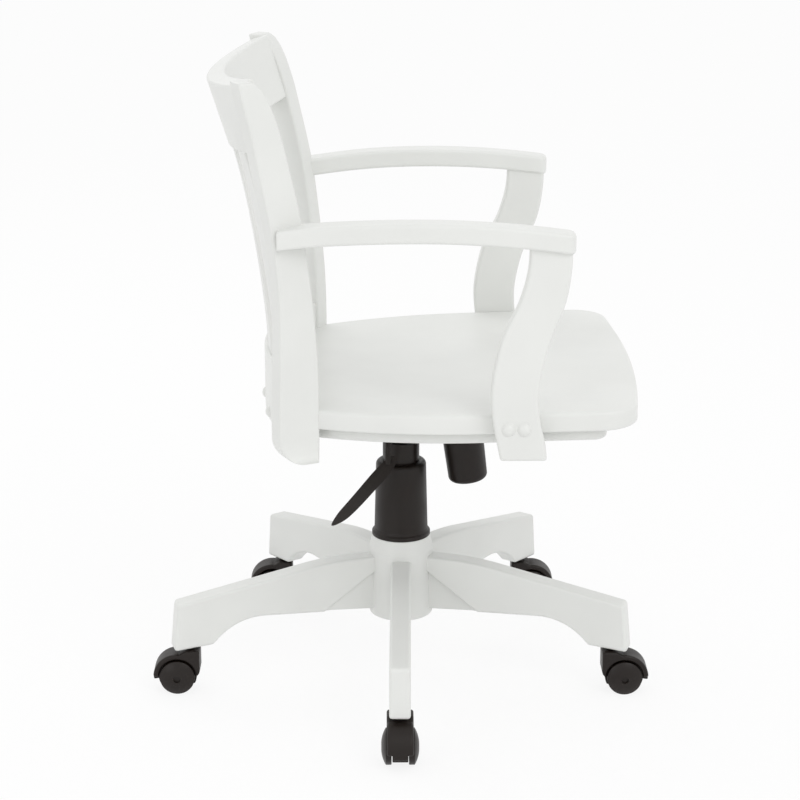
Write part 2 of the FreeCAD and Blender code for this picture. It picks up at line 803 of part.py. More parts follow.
def bent_bar(points, radius, bend):
    vectors = [V(*p) for p in points]
    edges = []
    start = vectors[0]
    for i in range(1, len(vectors) - 1):
        corner = vectors[i]
        before = (vectors[i - 1] - corner).normalize()
        after = (vectors[i + 1] - corner).normalize()
        half = before.getAngle(after) / 2
        shorter = min((vectors[i - 1] - corner).Length, (vectors[i + 1] - corner).Length)
        reach = min(bend / tan(half), 0.45 * shorter)
        size = reach * tan(half)
        middle = (before + after).normalize()
        apex = corner + middle * (size / sin(half) - size)
        edges.append(Part.LineSegment(start, corner + before * reach).toShape())
        edges.append(Part.Arc(corner + before * reach, apex, corner + after * reach).toShape())
        start = corner + after * reach
    edges.append(Part.LineSegment(start, vectors[-1]).toShape())
    path = Part.Wire(edges)
    circle = Part.Wire(Part.Circle(vectors[0], vectors[1] - vectors[0], radius).toShape())
    return path.makePipeShell([circle], True, False)


def make_lever_rod():
    rod = bent_bar(lever_route, lever_radius, lever_bend_radius)
    x, y, z = lever_route[0]
    boss = bar(lever_radius + 0.8, V(x, y - lever_radius - 0.6, z), V(x, y + lever_radius + 0.6, z))
    tab = Part.makeBox(-x + button_radius + 1, 2 * lever_radius, 4.0, V(x, y - lever_radius, button_top))
    reach_y = y + lever_radius + button_radius
    finger = Part.makeBox(2 * button_radius + 1, reach_y, 4.0, V(-button_radius, -button_radius, button_top))
    rod = rod.fuse([boss, tab, finger]).removeSplitter()
    rod = rod.cut(bar(lever_pin_radius + running_gap, V(x, y - 20, z), V(x, y + 20, z)))
    return rod.cut(make_paddle_blank())


def paddle_frame():
    start = V(*lever_route[-1])
    end = V(*paddle_end)
    along = (end - start).normalize()
    to_viewer = V(-0.95, 0.0, 0.31)
    face = (to_viewer - along * to_viewer.dot(along)).normalize()
    return start, end, along, face, along.cross(face)


def make_paddle_blank():
    start, end, along, face, across = paddle_frame()
    length = (end - start).Length + paddle_root
    origin = start - along * paddle_root - face * (paddle_thickness / 2)
    points = [origin + along * (a * length) + across * (b * paddle_width) for a, b in paddle_rows]
    return prism(closed_spline(points), face * paddle_thickness)


def make_lever_paddle():
    return make_paddle_blank()


# Seat

def seat_side_x(y):
    """Half width of the seat's outline behind its widest point."""
    return seat_half_width - seat_side_radius + sqrt(seat_side_radius ** 2 - (y - seat_widest_y) ** 2)


def rear_arc_y(x, gap):
    radius = back_arc_radius - rail_thickness
    return rail_rear_y - rail_thickness - gap - radius + sqrt(radius ** 2 - x ** 2)


def stile_corners(row):
    """Outer rear, outer front, inner front and inner rear corner of the left stile's section."""
    z, front, rear = row
    turn = radians(stile_turn)
    depth = (rear - front) / cos(turn)
    outer_rear = V(stile_outer_x, rear, z)
    outer_front = V(stile_outer_x - depth * sin(turn), front, z)
    across = V(-cos(turn), sin(turn), 0) * stile_thickness
    return outer_rear, outer_front, outer_front + across, outer_rear + across


def seat_outline(inset, z, front_inset, corner_radius, notched):
    """Outline of the seat board, or of the apron under it; both run past the back and are cut to it later."""
    outer_rear, outer_front, inner_front, inner_rear = stile_corners(stile_at(z))
    side_end_y = outer_front.y + 1.5 if notched else inner_front.y + 3
    side_x = seat_side_x(side_end_y) - inset
    rear_x = (outer_front.x + inner_front.x) / 2 - 4 if notched else side_x
    rear_end = V(rear_x, rear_arc_y(rear_x, -seat_rear_overrun), z)
    front_y = seat_front_y + front_inset
    half = seat_half_width - inset
    radius = corner_radius
    front_centre = V(0, front_y + seat_front_radius, z)
    corner_y = front_centre.y - sqrt((seat_front_radius - radius) ** 2 - (half - radius) ** 2)
    corner = V(half - radius, corner_y, z)
    touch = front_centre + (corner - front_centre) * (seat_front_radius / (seat_front_radius - radius))
    turn = degrees(atan2(touch.y - corner.y, touch.x - corner.x))
    widest = V(half, seat_widest_y, z)
    side_mid_y = (seat_widest_y + side_end_y) / 2
    side_middle = V(seat_side_x(side_mid_y) - inset, side_mid_y, z)
    half_edges = [
        Part.LineSegment(rear_end, V(side_x, side_end_y, z)).toShape(),
        Part.Arc(V(side_x, side_end_y, z), side_middle, widest).toShape(),
        Part.LineSegment(widest, V(half, corner_y, z)).toShape(),
        Part.Arc(V(half, corner_y, z), corner + polar(radius, turn / 2), touch).toShape()]
    others = [edge.mirror(V(0, 0, 0), V(1, 0, 0)) for edge in half_edges]
    front = Part.Arc(touch, V(0, front_y, z), V(-touch.x, touch.y, z)).toShape()
    back = Part.Arc(V(-rear_x, rear_end.y, z), V(0, rear_arc_y(0, -seat_rear_overrun), z), rear_end).toShape()
    return Part.Wire(Part.__sortEdges__(half_edges + others + [front, back]))


def fitted_to_back(board):
    """Cut a seat board to the front of the back rail and round the stiles."""
    centre_y = rail_rear_y - back_arc_radius
    beyond = Part.makeBox(800, 500, 400, V(-400, 0, 250))
    reach = back_arc_radius - rail_thickness - seat_rear_gap
    beyond = beyond.cut(bar(reach, V(0, centre_y, 200), V(0, centre_y, 700)))
    return cut_by_stiles(board.cut(beyond))


def front_edges(shape, z, limit):
    """Edges that lie at height z and stay in front of the limit."""
    found = []
    for edge in shape.Edges:
        box = edge.BoundBox
        if abs(box.ZMin - z) < 0.01 and abs(box.ZMax - z) < 0.01 and box.YMax < limit:
            found.append(edge)
    return found


def make_seat_board():
    low = seat_top - seat_thickness
    board = prism(seat_outline(0, low, 0, seat_corner_radius, True), V(0, 0, seat_thickness))
    limit = stile_at(low)[1] + 4
    board = board.makeFillet(seat_edge_round, front_edges(board, seat_top, limit))
    board = board.makeFillet(seat_edge_round * 0.6, front_edges(board, low, limit))
    ball = (seat_dish_radius ** 2 + seat_dish_depth ** 2) / (2 * seat_dish_depth)
    board = board.cut(Part.makeSphere(ball, V(0, seat_dish_y, seat_top - seat_dish_depth + ball)))
    for bolt in plate_bolt_bars(plate_bolt_radius):
        board = board.cut(bolt)
    board = fitted_to_back(seat_tilted(board))
    post = make_post_board()
    board = board.cut(post).cut(mirrored(post))
    for side in SIDES.values():
        for bolt in post_bolt_bars(side, post_bolt_radius):
            board = board.cut(bolt)
    return board


def make_apron_board():
    low = apron_bottom()
    board = prism(seat_outline(apron_inset, low, apron_front_inset, apron_corner_radius, False),
                  V(0, 0, apron_thickness))
    limit = stile_at(low)[1] + 25
    board = board.makeFillet(apron_edge_round, front_edges(board, low, limit))
    for bolt in plate_bolt_bars(plate_bolt_radius):
        board = board.cut(bolt)
    board = fitted_to_back(seat_tilted(board))
    for bolt in rail_bolt_bars(rail_bolt_radius):
        board = board.cut(bolt)
    nut = knob_tilted(bar(tension_bolt_head_radius + 2, V(0, 0, knob_top), V(0, 0, knob_top + 90)))
    return board.cut(nut)


# Back

def stile_at(z):
    """Height, front and rear of the stile's outer side at height z."""
    for low, high in zip(stile_rows, stile_rows[1:]):
        if z <= high[0]:
            break
    share = (z - low[0]) / (high[0] - low[0])
    return z, low[1] + share * (high[1] - low[1]), low[2] + share * (high[2] - low[2])


def stile_sections():
    """The rows with the rounded rear corner of the foot put in."""
    bottom, front, rear = stile_rows[0]
    rounded = []
    for angle in (0.0, 22.0, 40.0, 56.0, 72.0):
        back = rear - stile_foot_round * (1 - sin(radians(angle)))
        rounded.append((bottom + stile_foot_round * (1 - cos(radians(angle))), front, back))
    return rounded + stile_rows[1:]


def make_stile():
    wires = []
    for row in stile_sections():
        corners = list(stile_corners(row))
        wires.append(Part.makePolygon(corners + corners[:1]))
    return Part.makeLoft(wires, True, False)


def arc_board(thickness, height, half_angle):
    """Part of a ring about the Z axis, its middle at +Y, standing on z = 0."""
    outer = Part.makeCylinder(back_arc_radius, height, V(0, 0, 0), UP, 2 * half_angle)
    inner = Part.makeCylinder(back_arc_radius - thickness, height + 2, V(0, 0, -1))
    return turned(outer, 90 - half_angle).cut(inner)


def make_crest():
    lean = radians(crest_recline)
    along = V(0, sin(lean), cos(lean))
    rearward = V(0, cos(lean), -sin(lean))
    half_angle = degrees(asin((stile_outer_x - stile_thickness / 2) / back_arc_radius))
    crest = arc_board(crest_thickness, crest_height, half_angle)
    crest = turned(crest, -crest_recline, V(0, 0, 0), V(1, 0, 0))
    crest.translate(V(0, crest_rear_y, crest_top_z) - rearward * back_arc_radius - along * crest_height)
    return cut_by_stiles(crest)


def make_back_rail():
    half_angle = degrees(asin((stile_outer_x - 0.73 * stile_thickness) / back_arc_radius))
    rail = arc_board(rail_thickness, rail_height, half_angle)
    rail.translate(V(0, rail_rear_y - back_arc_radius, rail_bottom))
    rail = cut_by_stiles(rail)
    for bolt in rail_bolt_bars(rail_bolt_radius):
        rail = rail.cut(bolt)
    return rail


def cut_by_stiles(shape):
    stile = make_stile()
    return shape.cut(stile).cut(mirrored(stile))


def make_back_slats(crest, rail):
    rows = [(z, rear - slat_thickness * 1.03, rear) for z, rear in slat_rows]
    strip = prism(strip_wire(rows, side_plane(-slat_width / 2)), V(slat_width, 0, 0))
    low, high = slat_ends
    strip = strip.common(Part.makeBox(400, 400, high - low, V(-200, 0, low)))
    axis_point = V(0, rail_rear_y - back_arc_radius, 0)
    slats = []
    for i in range(slat_count):
        x = (i - (slat_count - 1) / 2) * slat_spacing
        angle = -degrees(asin(x / back_arc_radius))
        slats.append(turned(strip, angle, axis_point).cut(crest).cut(rail))
    return Part.Compound(slats)


def rail_bolt_frames():
    frames = []
    for x in rail_bolt_x:
        y = rail_rear_y - back_arc_radius + sqrt(back_arc_radius ** 2 - x ** 2)
        outward = V(x, y - (rail_rear_y - back_arc_radius), 0).normalize()
        frames.append((V(x, y, rail_bolt_z), outward))
    return frames


def rail_bolt_bars(radius):
    reach = rail_thickness + rail_bolt_grip
    return [bar(radius, base - out * reach, base + out * 3) for base, out in rail_bolt_frames()]


def make_rail_bolts():
    length = rail_thickness + rail_bolt_grip
    return Part.Compound([
        dome_screw(rail_bolt_head_radius, rail_bolt_head, rail_bolt_radius, length, base, out)
        for base, out in rail_bolt_frames()])


# Arms

def arm_side_outline():
    def top(y):
        return arm_top_z - arm_arch_radius + sqrt(arm_arch_radius ** 2 - (y - arm_crown_y) ** 2)

    def arc(drop):
        ys = (arm_rear_y, (arm_rear_y + arm_front_y) / 2, arm_front_y)
        return Part.Arc(*[V(0, y, top(y) - drop) for y in ys]).toShape()

    ends = [Part.LineSegment(V(0, y, top(y)), V(0, y, top(y) - arm_thickness)).toShape()
            for y in (arm_rear_y, arm_front_y)]
    return Part.Wire(Part.__sortEdges__([arc(0), arc(arm_thickness)] + ends)), top


def arm_centre_x(y):
    for near, far in zip(arm_rows, arm_rows[1:]):
        if y <= far[0]:
            break
    share = max(0.0, (y - near[0]) / (far[0] - near[0]))
    return near[1] + share * (far[1] - near[1])


def make_arm(stile):
    wire, top = arm_side_outline()
    slab = prism(wire, V(600, 0, 0))
    half = arm_width / 2
    nose = arm_front_y + arm_nose_round
    z = arm_top_z - 120
    turn = arm_nose_round * (1 - cos(pi / 4))
    front_x = arm_rows[0][1]
    edges = []
    ends = []
    for sign in (-1, 1):
        side = sign * half
        points = [V(x + side, y, z) for y, x in arm_rows]
        start = V(front_x + side, nose, z)
        edges.append(spline_edge(points))
        edges.append(Part.LineSegment(points[0], start).toShape())
        edges.append(Part.Arc(start, V(front_x + side - sign * turn, arm_front_y + turn, z),
                              V(front_x + side - sign * arm_nose_round, arm_front_y, z)).toShape())
        ends.append(points[-1])
    edges.append(Part.LineSegment(ends[0], ends[1]).toShape())
    inner = half - arm_nose_round
    tip = [V(front_x + reach, arm_front_y, z) for reach in (-inner, inner)]
    edges.append(Part.LineSegment(*tip).toShape())
    plan = prism(Part.Wire(Part.__sortEdges__(edges)), V(0, 0, 240))
    arm = slab.common(plan).cut(stile)
    return max(arm.Solids, key=lambda s: s.Volume)


def make_post_board():
    """The left post before its top is trimmed, leaned in towards its arm."""
    board = prism(strip_wire(post_rows, side_plane(seat_half_width)), V(post_thickness, 0, 0))
    return turned(board, -post_lean, V(seat_half_width, 0, post_contact_z), V(0, 1, 0))


def make_post():
    slab, top = arm_side_outline()
    above = prism(slab, V(600, 0, 0))
    lid = above.copy()
    for step in range(1, 3):
        higher = above.copy()
        higher.translate(V(0, 0, step * (arm_thickness - 1)))
        lid = lid.fuse(higher)
    return make_post_board().cut(lid)


def post_bolt_frames(side):
    """Head seats on the post's outer face, with the outward direction, for one side."""
    lean = radians(post_lean)
    frames = []
    for y in post_bolt_y:
        outward = V(cos(lean), 0, sin(lean))
        inner = V(seat_half_width - (post_bolt_z - post_contact_z) * tan(lean), y, post_bolt_z)
        base = inner + outward * post_thickness
        frames.append((V(side * base.x, base.y, base.z), V(side * outward.x, 0, outward.z)))
    return frames


def post_bolt_bars(side, radius):
    reach = post_thickness + post_bolt_grip
    return [bar(radius, base - out * reach, base + out * 3) for base, out in post_bolt_frames(side)]


def make_post_bolts():
    length = post_thickness + post_bolt_grip
    frames = [frame for side in SIDES.values() for frame in post_bolt_frames(side)]
    return Part.Compound([
        dome_screw(post_bolt_head_radius, post_bolt_head, post_bolt_radius, length, base, out)
        for base, out in frames])


def arm_screw_bars():
    """Left-hand screws: one from the stile into the arm, one up from the post into the arm."""
    turn = radians(stile_turn)
    arm_z = arm_top_z - arm_thickness / 2 - 8
    outer_rear, outer_front, inner_front, inner_rear = stile_corners(stile_at(arm_z))
    outward = V(cos(turn), -sin(turn), 0)
    start = inner_front + (inner_rear - inner_front) * 0.42 + outward * 2
    side_screw = bar(arm_screw_radius, start, start + outward * (stile_thickness + 10))
    y = sum(post_rows[-2][1:]) / 2
    x = arm_centre_x(y)
    low_z = arm_top_z - arm_thickness - 28
    post_screw = bar(arm_screw_radius, V(x, y, low_z), V(x, y, low_z + arm_screw_length * 0.85))
    return [side_screw, post_screw]


def build():
    parts = {}
    parts["base_hub"] = make_hub()
    leg = make_leg()
    for i, angle in enumerate(leg_angles):
        parts["base_leg_%d" % (i + 1)] = turned(leg, angle)
    screws = [turned(screw, angle) for angle in leg_angles for screw in leg_screw_bars(leg_screw_radius)]
    parts["leg_screws"] = Part.Compound(screws)
    socket = make_socket()
    parts["caster_sockets"] = Part.Compound([turned(socket, angle) for angle in leg_angles])
    parts["column_tube"] = make_column_tube()
    parts["column_bush"] = make_column_bush()
    parts["column_cover"] = make_column_cover()
    parts["thrust_bearing"] = make_thrust_bearing()
    parts["piston_rod"] = make_piston_rod()

    hood = make_hood()
    pins = make_caster_pins()
    wheels = {"a": make_wheel(-1), "b": make_wheel(1)}
    for i in range(leg_count):
        parts["caster_hood_%d" % (i + 1)] = caster_place(hood, i)
        parts["caster_pins_%d" % (i + 1)] = caster_place(pins, i)
        for letter, wheel in wheels.items():
            parts["wheel_%d%s" % (i + 1, letter)] = caster_place(wheel, i)

    parts["gas_cylinder"] = make_gas_cylinder()
    parts["valve_button"] = make_valve_button()
    parts["tilt_housing"] = make_tilt_housing()
    parts["tilt_pin"] = make_tilt_pin()
    parts["lever_pin"] = make_lever_pin()
    parts["lever_rod"] = make_lever_rod()
    parts["lever_paddle"] = make_lever_paddle()
    parts["tension_spring"] = make_tension_spring()
    parts["tension_bolt"] = make_tension_bolt()
    parts["spring_washer"] = make_spring_washer()
    parts["tension_knob"] = make_tension_knob()

    parts["seat_plate"] = make_seat_plate()
    parts["plate_bolts"] = make_plate_bolts()
    parts["seat_board"] = make_seat_board()
    parts["apron_board"] = make_apron_board()

    stile = make_stile()
    crest = make_crest()
    rail = make_back_rail()
    parts["crest_rail"] = crest
    parts["back_rail"] = rail
    parts["rail_bolts"] = make_rail_bolts()
    parts["back_slats"] = make_back_slats(crest, rail)

    arm = make_arm(stile)
    post = make_post()
    screws = arm_screw_bars()
    for screw in screws:
        arm = arm.cut(screw)
        post = post.cut(screw)
        stile = stile.cut(screw)
    for bolt in post_bolt_bars(1, post_bolt_radius):
        post = post.cut(bolt)
    for name, side in SIDES.items():
        place = mirrored if side < 0 else (lambda shape: shape)
        parts["back_stile_" + name] = place(stile)
        parts["arm_" + name] = place(arm)
        parts["arm_post_" + name] = place(post)
    parts["post_bolts"] = make_post_bolts()
    parts["arm_screws"] = Part.Compound(screws + [mirrored(screw) for screw in screws])
    return parts


os.makedirs("parts", exist_ok=True)
for name, shape in build().items():
    shape.exportStep("parts/%s.step" % name)
    box = shape.BoundBox
    print("%-18s solids %2d valid %s volume %9.0f  z %.1f to %.1f" % (
        name, len(shape.Solids), shape.isValid(), shape.Volume, box.ZMin, box.ZMax))
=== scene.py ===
"""Looks of a white wooden swivel desk chair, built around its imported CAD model."""

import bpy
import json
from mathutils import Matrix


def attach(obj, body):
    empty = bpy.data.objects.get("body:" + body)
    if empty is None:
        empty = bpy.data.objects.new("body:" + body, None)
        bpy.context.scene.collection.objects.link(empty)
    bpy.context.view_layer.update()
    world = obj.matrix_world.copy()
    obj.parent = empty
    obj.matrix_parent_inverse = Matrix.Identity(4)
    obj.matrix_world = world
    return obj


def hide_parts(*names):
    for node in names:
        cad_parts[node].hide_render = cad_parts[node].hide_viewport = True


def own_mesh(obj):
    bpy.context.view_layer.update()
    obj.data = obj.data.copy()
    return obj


bl_info = {
    "name": "Bankers Swivel Chair",
    "version": (1, 0, 0),
    "blender": (4, 5, 0),
    "location": "View3D > Sidebar > Chair",
    "description": "Builds the painted wood, moulded and metal pieces of a swivel desk chair",
    "category": "Add Mesh",
}

import json
from math import acos, asin, cos, pi, radians, sin, tan

import bpy
import numpy as np
from bpy.props import FloatProperty, FloatVectorProperty, IntProperty, PointerProperty, StringProperty
from mathutils import Matrix, Vector

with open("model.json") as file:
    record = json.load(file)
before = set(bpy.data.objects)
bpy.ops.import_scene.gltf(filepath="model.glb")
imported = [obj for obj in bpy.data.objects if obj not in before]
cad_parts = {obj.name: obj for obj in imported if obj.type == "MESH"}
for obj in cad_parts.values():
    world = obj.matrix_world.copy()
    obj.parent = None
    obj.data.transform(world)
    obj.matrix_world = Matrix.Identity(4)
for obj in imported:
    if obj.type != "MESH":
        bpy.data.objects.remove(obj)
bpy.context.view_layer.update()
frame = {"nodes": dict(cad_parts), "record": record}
MM = 0.001
SIDES = (("right", -1), ("left", 1))


# Sizes and colours that a user would change

class ChairSizes(bpy.types.PropertyGroup):
    """Sizes of the rounded wooden pieces, in metres."""

    board_edge: FloatProperty(
        name="Board edge", description="Radius of the eased edges of stiles and posts",
        default=0.0035, min=0.0005, max=0.008, subtype="DISTANCE", unit="LENGTH")
    arm_edge: FloatProperty(
        name="Arm edge", description="Radius of the long edges of the arms",
        default=0.0042, min=0.001, max=0.011, subtype="DISTANCE", unit="LENGTH")
    leg_edge: FloatProperty(
        name="Leg edge", description="Radius of the edges of the base legs",
        default=0.004, min=0.001, max=0.008, subtype="DISTANCE", unit="LENGTH")
    seat_edge: FloatProperty(
        name="Seat edge", description="Radius of the seat's upper edge",
        default=0.0055, min=0.002, max=0.012, subtype="DISTANCE", unit="LENGTH")
    dish_depth: FloatProperty(
        name="Seat dish", description="Depth of the hollow in the seat",
        default=0.0065, min=0.0, max=0.009, subtype="DISTANCE", unit="LENGTH")
    corner_steps: IntProperty(
        name="Corner steps", description="Faces round each eased edge", default=5, min=2, max=10)


class ChairColours(bpy.types.PropertyGroup):
    """Colours as sRGB hex values."""

    paint: StringProperty(name="Paint", description="Satin white paint", default="#E4E5E2")
    moulding: StringProperty(name="Moulding", description="Black moulded nylon and ABS", default="#1B1410")
    wheel: StringProperty(name="Wheel", description="Nylon of the caster wheels", default="#1C1511")
    enamel: StringProperty(name="Enamel", description="Black stoved enamel on steel", default="#1B140F")
    zinc: StringProperty(name="Zinc", description="Dull zinc plating", default="#A7A8AA")


class StageSettings(bpy.types.PropertyGroup):
    """Camera and light of the studio."""

    lens: FloatProperty(
        name="Lens", description="Focal length of the camera", default=99.44, min=20, max=200, unit="CAMERA")
    fill: FloatProperty(
        name="Fill", description="Strength of the even light from all round", default=0.87, min=0, max=2)
    key: FloatProperty(
        name="Key", description="Power of the soft key light",
        default=19.0, min=0, max=400, subtype="POWER")
    floor: FloatVectorProperty(
        name="Floor", description="Colour of the floor",
        default=(0.93, 0.93, 0.93), subtype="COLOR", min=0, max=1)


# Shapes on grids

# A corner whose half angle is past this, in radians, is as good as straight
STRAIGHT = 1.56
# Rings of a beam keep at least this apart, and no edge is rounded with a smaller radius
LEAST = 2e-4
# Points closer than this are one point
SAME_POINT = 1e-7


def through(knots, values, at):
    """A smooth curve through values given at knots: cubic Hermite pieces, whose slope at each knot is the
    slope of the parabola through its neighbours."""
    knots = np.asarray(knots, float)
    values = np.asarray(values, float)
    slopes = np.gradient(values, knots)
    i = np.clip(np.searchsorted(knots, at) - 1, 0, len(knots) - 2)
    span = knots[i + 1] - knots[i]
    t = (at - knots[i]) / span
    return ((2 * t**3 - 3 * t**2 + 1) * values[i] + (t**3 - 2 * t**2 + t) * span * slopes[i]
            + (3 * t**2 - 2 * t**3) * values[i + 1] + (t**3 - t**2) * span * slopes[i + 1])


def quarter(t):
    """A quarter circle that rises from 0 to 1 over its run: sqrt(1 - (1 - t)^2)."""
    return np.sqrt(np.clip(1 - (1 - t) ** 2, 0, 1))


def eased(t):
    """A smooth step from 0 to 1: 3 t^2 - 2 t^3."""
    t = np.clip(t, 0, 1)
    return t * t * (3 - 2 * t)


def rounded(corners, steps):
    """Closed outline through (a, b, radius) corners: each corner is an arc tangent to both of its sides,
    with its middle on the bisector at radius / sin(half the corner's angle)."""
    pieces = []
    count = len(corners)
    for i, (a, b, r) in enumerate(corners):
        p = np.array((a, b), float)
        before = np.array(corners[i - 1][:2], float) - p
        after = np.array(corners[(i + 1) % count][:2], float) - p
        before /= np.linalg.norm(before)
        after /= np.linalg.norm(after)
        half = acos(np.clip(before @ after, -1, 1)) / 2
        if r <= 0 or half > STRAIGHT:
            pieces.append(p[None])
            continue
        middle = (before + after) / np.linalg.norm(before + after)
        centre = p + middle * r / sin(half)
        start = p + before * r / tan(half) - centre
        end = p + after * r / tan(half) - centre
        t = np.linspace(0, 1, steps + 1)[:, None]
        turn = pi - 2 * half
        arc = (start * np.sin((1 - t) * turn) + end * np.sin(t * turn)) / sin(turn)
        pieces.append(centre + arc)
    return np.concatenate(pieces)


def denser(outline, step):
    """The same closed outline with points added so that none lie further apart than step."""
    following = np.roll(outline, -1, axis=0)
    length = np.linalg.norm(following - outline, axis=1)
    keep = length > SAME_POINT
    outline, following, length = outline[keep], following[keep], length[keep]
    parts = np.maximum(1, np.ceil(length / step)).astype(int)
    index = np.repeat(np.arange(len(outline)), parts)
    offset = np.arange(parts.sum()) - np.repeat(np.cumsum(parts) - parts, parts)
    share = (offset / parts[index])[:, None]
    return outline[index] * (1 - share) + following[index] * share


def inset(outline, distance):
    """The closed outline moved inwards along its normals, which halve the turn between its two sides. At a
    corner a point moves further, by 1 / cos(half the turn), but never more than twice the distance."""
    forward = np.roll(outline, -1, axis=0) - outline
    forward /= np.linalg.norm(forward, axis=1)[:, None]
    backward = np.roll(forward, 1, axis=0)
    tangent = forward + backward
    tangent /= np.linalg.norm(tangent, axis=1)[:, None]
    normal = np.stack((tangent[:, 1], -tangent[:, 0]), axis=1)
    stretch = np.clip(np.sum(tangent * forward, axis=1), 0.5, 1)
    return outline - normal * (distance / stretch)[:, None]


def anticlockwise(outline):
    """The outline run the way that gives it a positive area."""
    following = np.roll(outline, -1, axis=0)
    area = np.sum(outline[:, 0] * following[:, 1] - following[:, 0] * outline[:, 1])
    return outline if area > 0 else outline[::-1]


def edge_steps(radius, steps):
    """Distance in and height of each ring round a quarter-round edge, from the flat face to the side."""
    angle = np.linspace(0, pi / 2, steps + 1)
    return radius * (1 - np.sin(angle)), radius * (1 - np.cos(angle))


def beam_rings(corners, radius, ends, steps, lip=0.0012):
    """Rings of a wooden member given by its four corner lines, (stations, 4, 3) in order round the section.
    At each corner p, with a and b the directions to its neighbours, the edge is the curve
    p + radius * (a * (1 - sin t) + b * (1 - cos t)), t from 0 to a quarter turn, with a lip of flat on each
    side. Each end is rounded off: at an angle t the ring lies end * (1 - sin t) from the end of the corner
    lines, its corners are drawn in by end * (1 - cos t), and its edges are rounded less by 0.6 of that."""
    middle = corners.mean(axis=1)
    along = np.concatenate(([0], np.cumsum(np.linalg.norm(np.diff(middle, axis=0), axis=1))))
    angle = np.linspace(pi / 2, 0, steps + 1)[:-1]
    first, last = ends
    start = first * (1 - np.sin(angle))
    finish = along[-1] - last * (1 - np.sin(angle))[::-1]
    inner = along[(along > first + LEAST) & (along < along[-1] - last - LEAST)]
    place = np.concatenate((start, [first], inner, [along[-1] - last], finish))
    drawn = np.concatenate((first * (1 - np.cos(angle)), np.zeros(len(inner) + 2),
                            last * (1 - np.cos(angle))[::-1]))
    flat = corners.reshape(len(corners), 12)
    lines = np.stack([np.interp(place, along, flat[:, n]) for n in range(12)], axis=1).reshape(-1, 4, 3)
    before = np.roll(lines, 1, axis=1) - lines
    after = np.roll(lines, -1, axis=1) - lines
    shorter = np.minimum(np.linalg.norm(before, axis=2), np.linalg.norm(after, axis=2)).min(axis=1)
    before /= np.linalg.norm(before, axis=2, keepdims=True)
    after /= np.linalg.norm(after, axis=2, keepdims=True)
    lines = lines + (before + after) * drawn[:, None, None]
    size = np.minimum(radius - 0.6 * drawn, 0.5 * (shorter - 2 * drawn) - lip - LEAST / 2)
    size = np.maximum(size, LEAST)[:, None, None, None]
    turn = np.linspace(0, pi / 2, steps + 1)
    share_a = np.concatenate(([1.0], 1 - np.sin(turn), [0.0]))[None, None, :, None]
    share_b = np.concatenate(([0.0], 1 - np.cos(turn), [1.0]))[None, None, :, None]
    lip_a = np.concatenate(([lip], np.zeros(steps + 2)))[None, None, :, None]
    lip_b = lip_a[:, :, ::-1]
    to_before = before[:, :, None] * (size * share_a + lip_a)
    to_after = after[:, :, None] * (size * share_b + lip_b)
    return (lines[:, :, None] + to_before + to_after).reshape(len(place), -1, 3)


def beam(corners, radius, ends, steps, run=2, lip=0.0012):
    """A wooden member as points, grain and faces; run is the axis of the grain, put first."""
    rings = beam_rings(corners, radius, ends, steps, lip)
    points = rings.reshape(-1, 3)
    order = [run] + [n for n in range(3) if n != run]
    return turned_right_way(points, points[:, order], skin(rings))


def skin(rings):
    """Faces between closed rings, with a cap on each end."""
    count, around = rings.shape[:2]
    k, i = np.meshgrid(np.arange(count - 1), np.arange(around), indexing="ij")
    j = (i + 1) % around
    quads = np.stack((k * around + i, k * around + j, (k + 1) * around + j, (k + 1) * around + i), axis=-1)
    faces = quads.reshape(-1, 4).tolist()
    faces.append(np.arange(around)[::-1].tolist())
    faces.append(((count - 1) * around + np.arange(around)).tolist())
    return faces


def level_ring(outline, height):
    """A flat outline as a ring at a height, or at a height for each point."""
    return np.column_stack((outline, np.broadcast_to(height, len(outline))))


def volume(points, faces):
    """Signed volume of a closed mesh: the sum of the tetrahedra between its fans and the origin."""
    total = 0.0
    quads = np.array([f for f in faces if len(f) == 4])
    if len(quads):
        a, b, c, d = (points[quads[:, n]] for n in range(4))
        total += np.sum(a * np.cross(b, c)) + np.sum(a * np.cross(c, d))
    for f in (f for f in faces if len(f) != 4):
        fan = points[f]
        total += np.sum(fan[0] * np.cross(fan[1:-1], fan[2:]))
    return total


def joined(groups):
    """Several shapes of (points, grain, faces) put into one."""
    points = np.concatenate([g[0] for g in groups])
    grain = np.concatenate([g[1] for g in groups])
    faces = []
    start = 0
    for p, g, f in groups:
        faces += [[n + start for n in face] for face in f]
        start += len(p)
    return points, grain, faces


def turned_right_way(points, grain, faces):
    """The shape with its faces pointing outwards, which they do when its volume is positive."""
    if volume(points, faces) < 0:
        faces = [f[::-1] for f in faces]
    return points, grain, faces


def piece(name, shape, body, cad_node, material):
    """A mesh object from points, grain coordinates and faces, riding on its body in place of its CAD node."""
    points, grain, faces = shape
    mesh = bpy.data.meshes.new(name)
    mesh.from_pydata(points.astype(float), [], faces)
    attribute = mesh.attributes.new("grain", "FLOAT_VECTOR", "POINT")
    attribute.data.foreach_set("vector", grain.astype(np.float32).ravel())
    mesh.polygons.foreach_set("use_smooth", np.ones(len(mesh.polygons), bool))
    mesh.validate()
    mesh.update()
    obj = bpy.data.objects.new(name, mesh)
    bpy.context.scene.collection.objects.link(obj)
    mesh.materials.append(material)
    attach(obj, body)
    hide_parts(cad_node)
    return obj


def wooden(name, shape, body, cad_node):
    """A piece of painted wood."""
    return piece(name, shape, body, cad_node, MATERIALS["paint"])


# The chair's own measures, in metres and radians, as the CAD part has them. The column stands on the origin,
# the seat faces -Y and the sitter's left is +X.

# Bow of the back: radius of the rear faces of its rails, and where the lower rail's rear face lies
ARC = 0.465
RAIL_REAR = 0.1875
BOW_CENTRE = RAIL_REAR - ARC

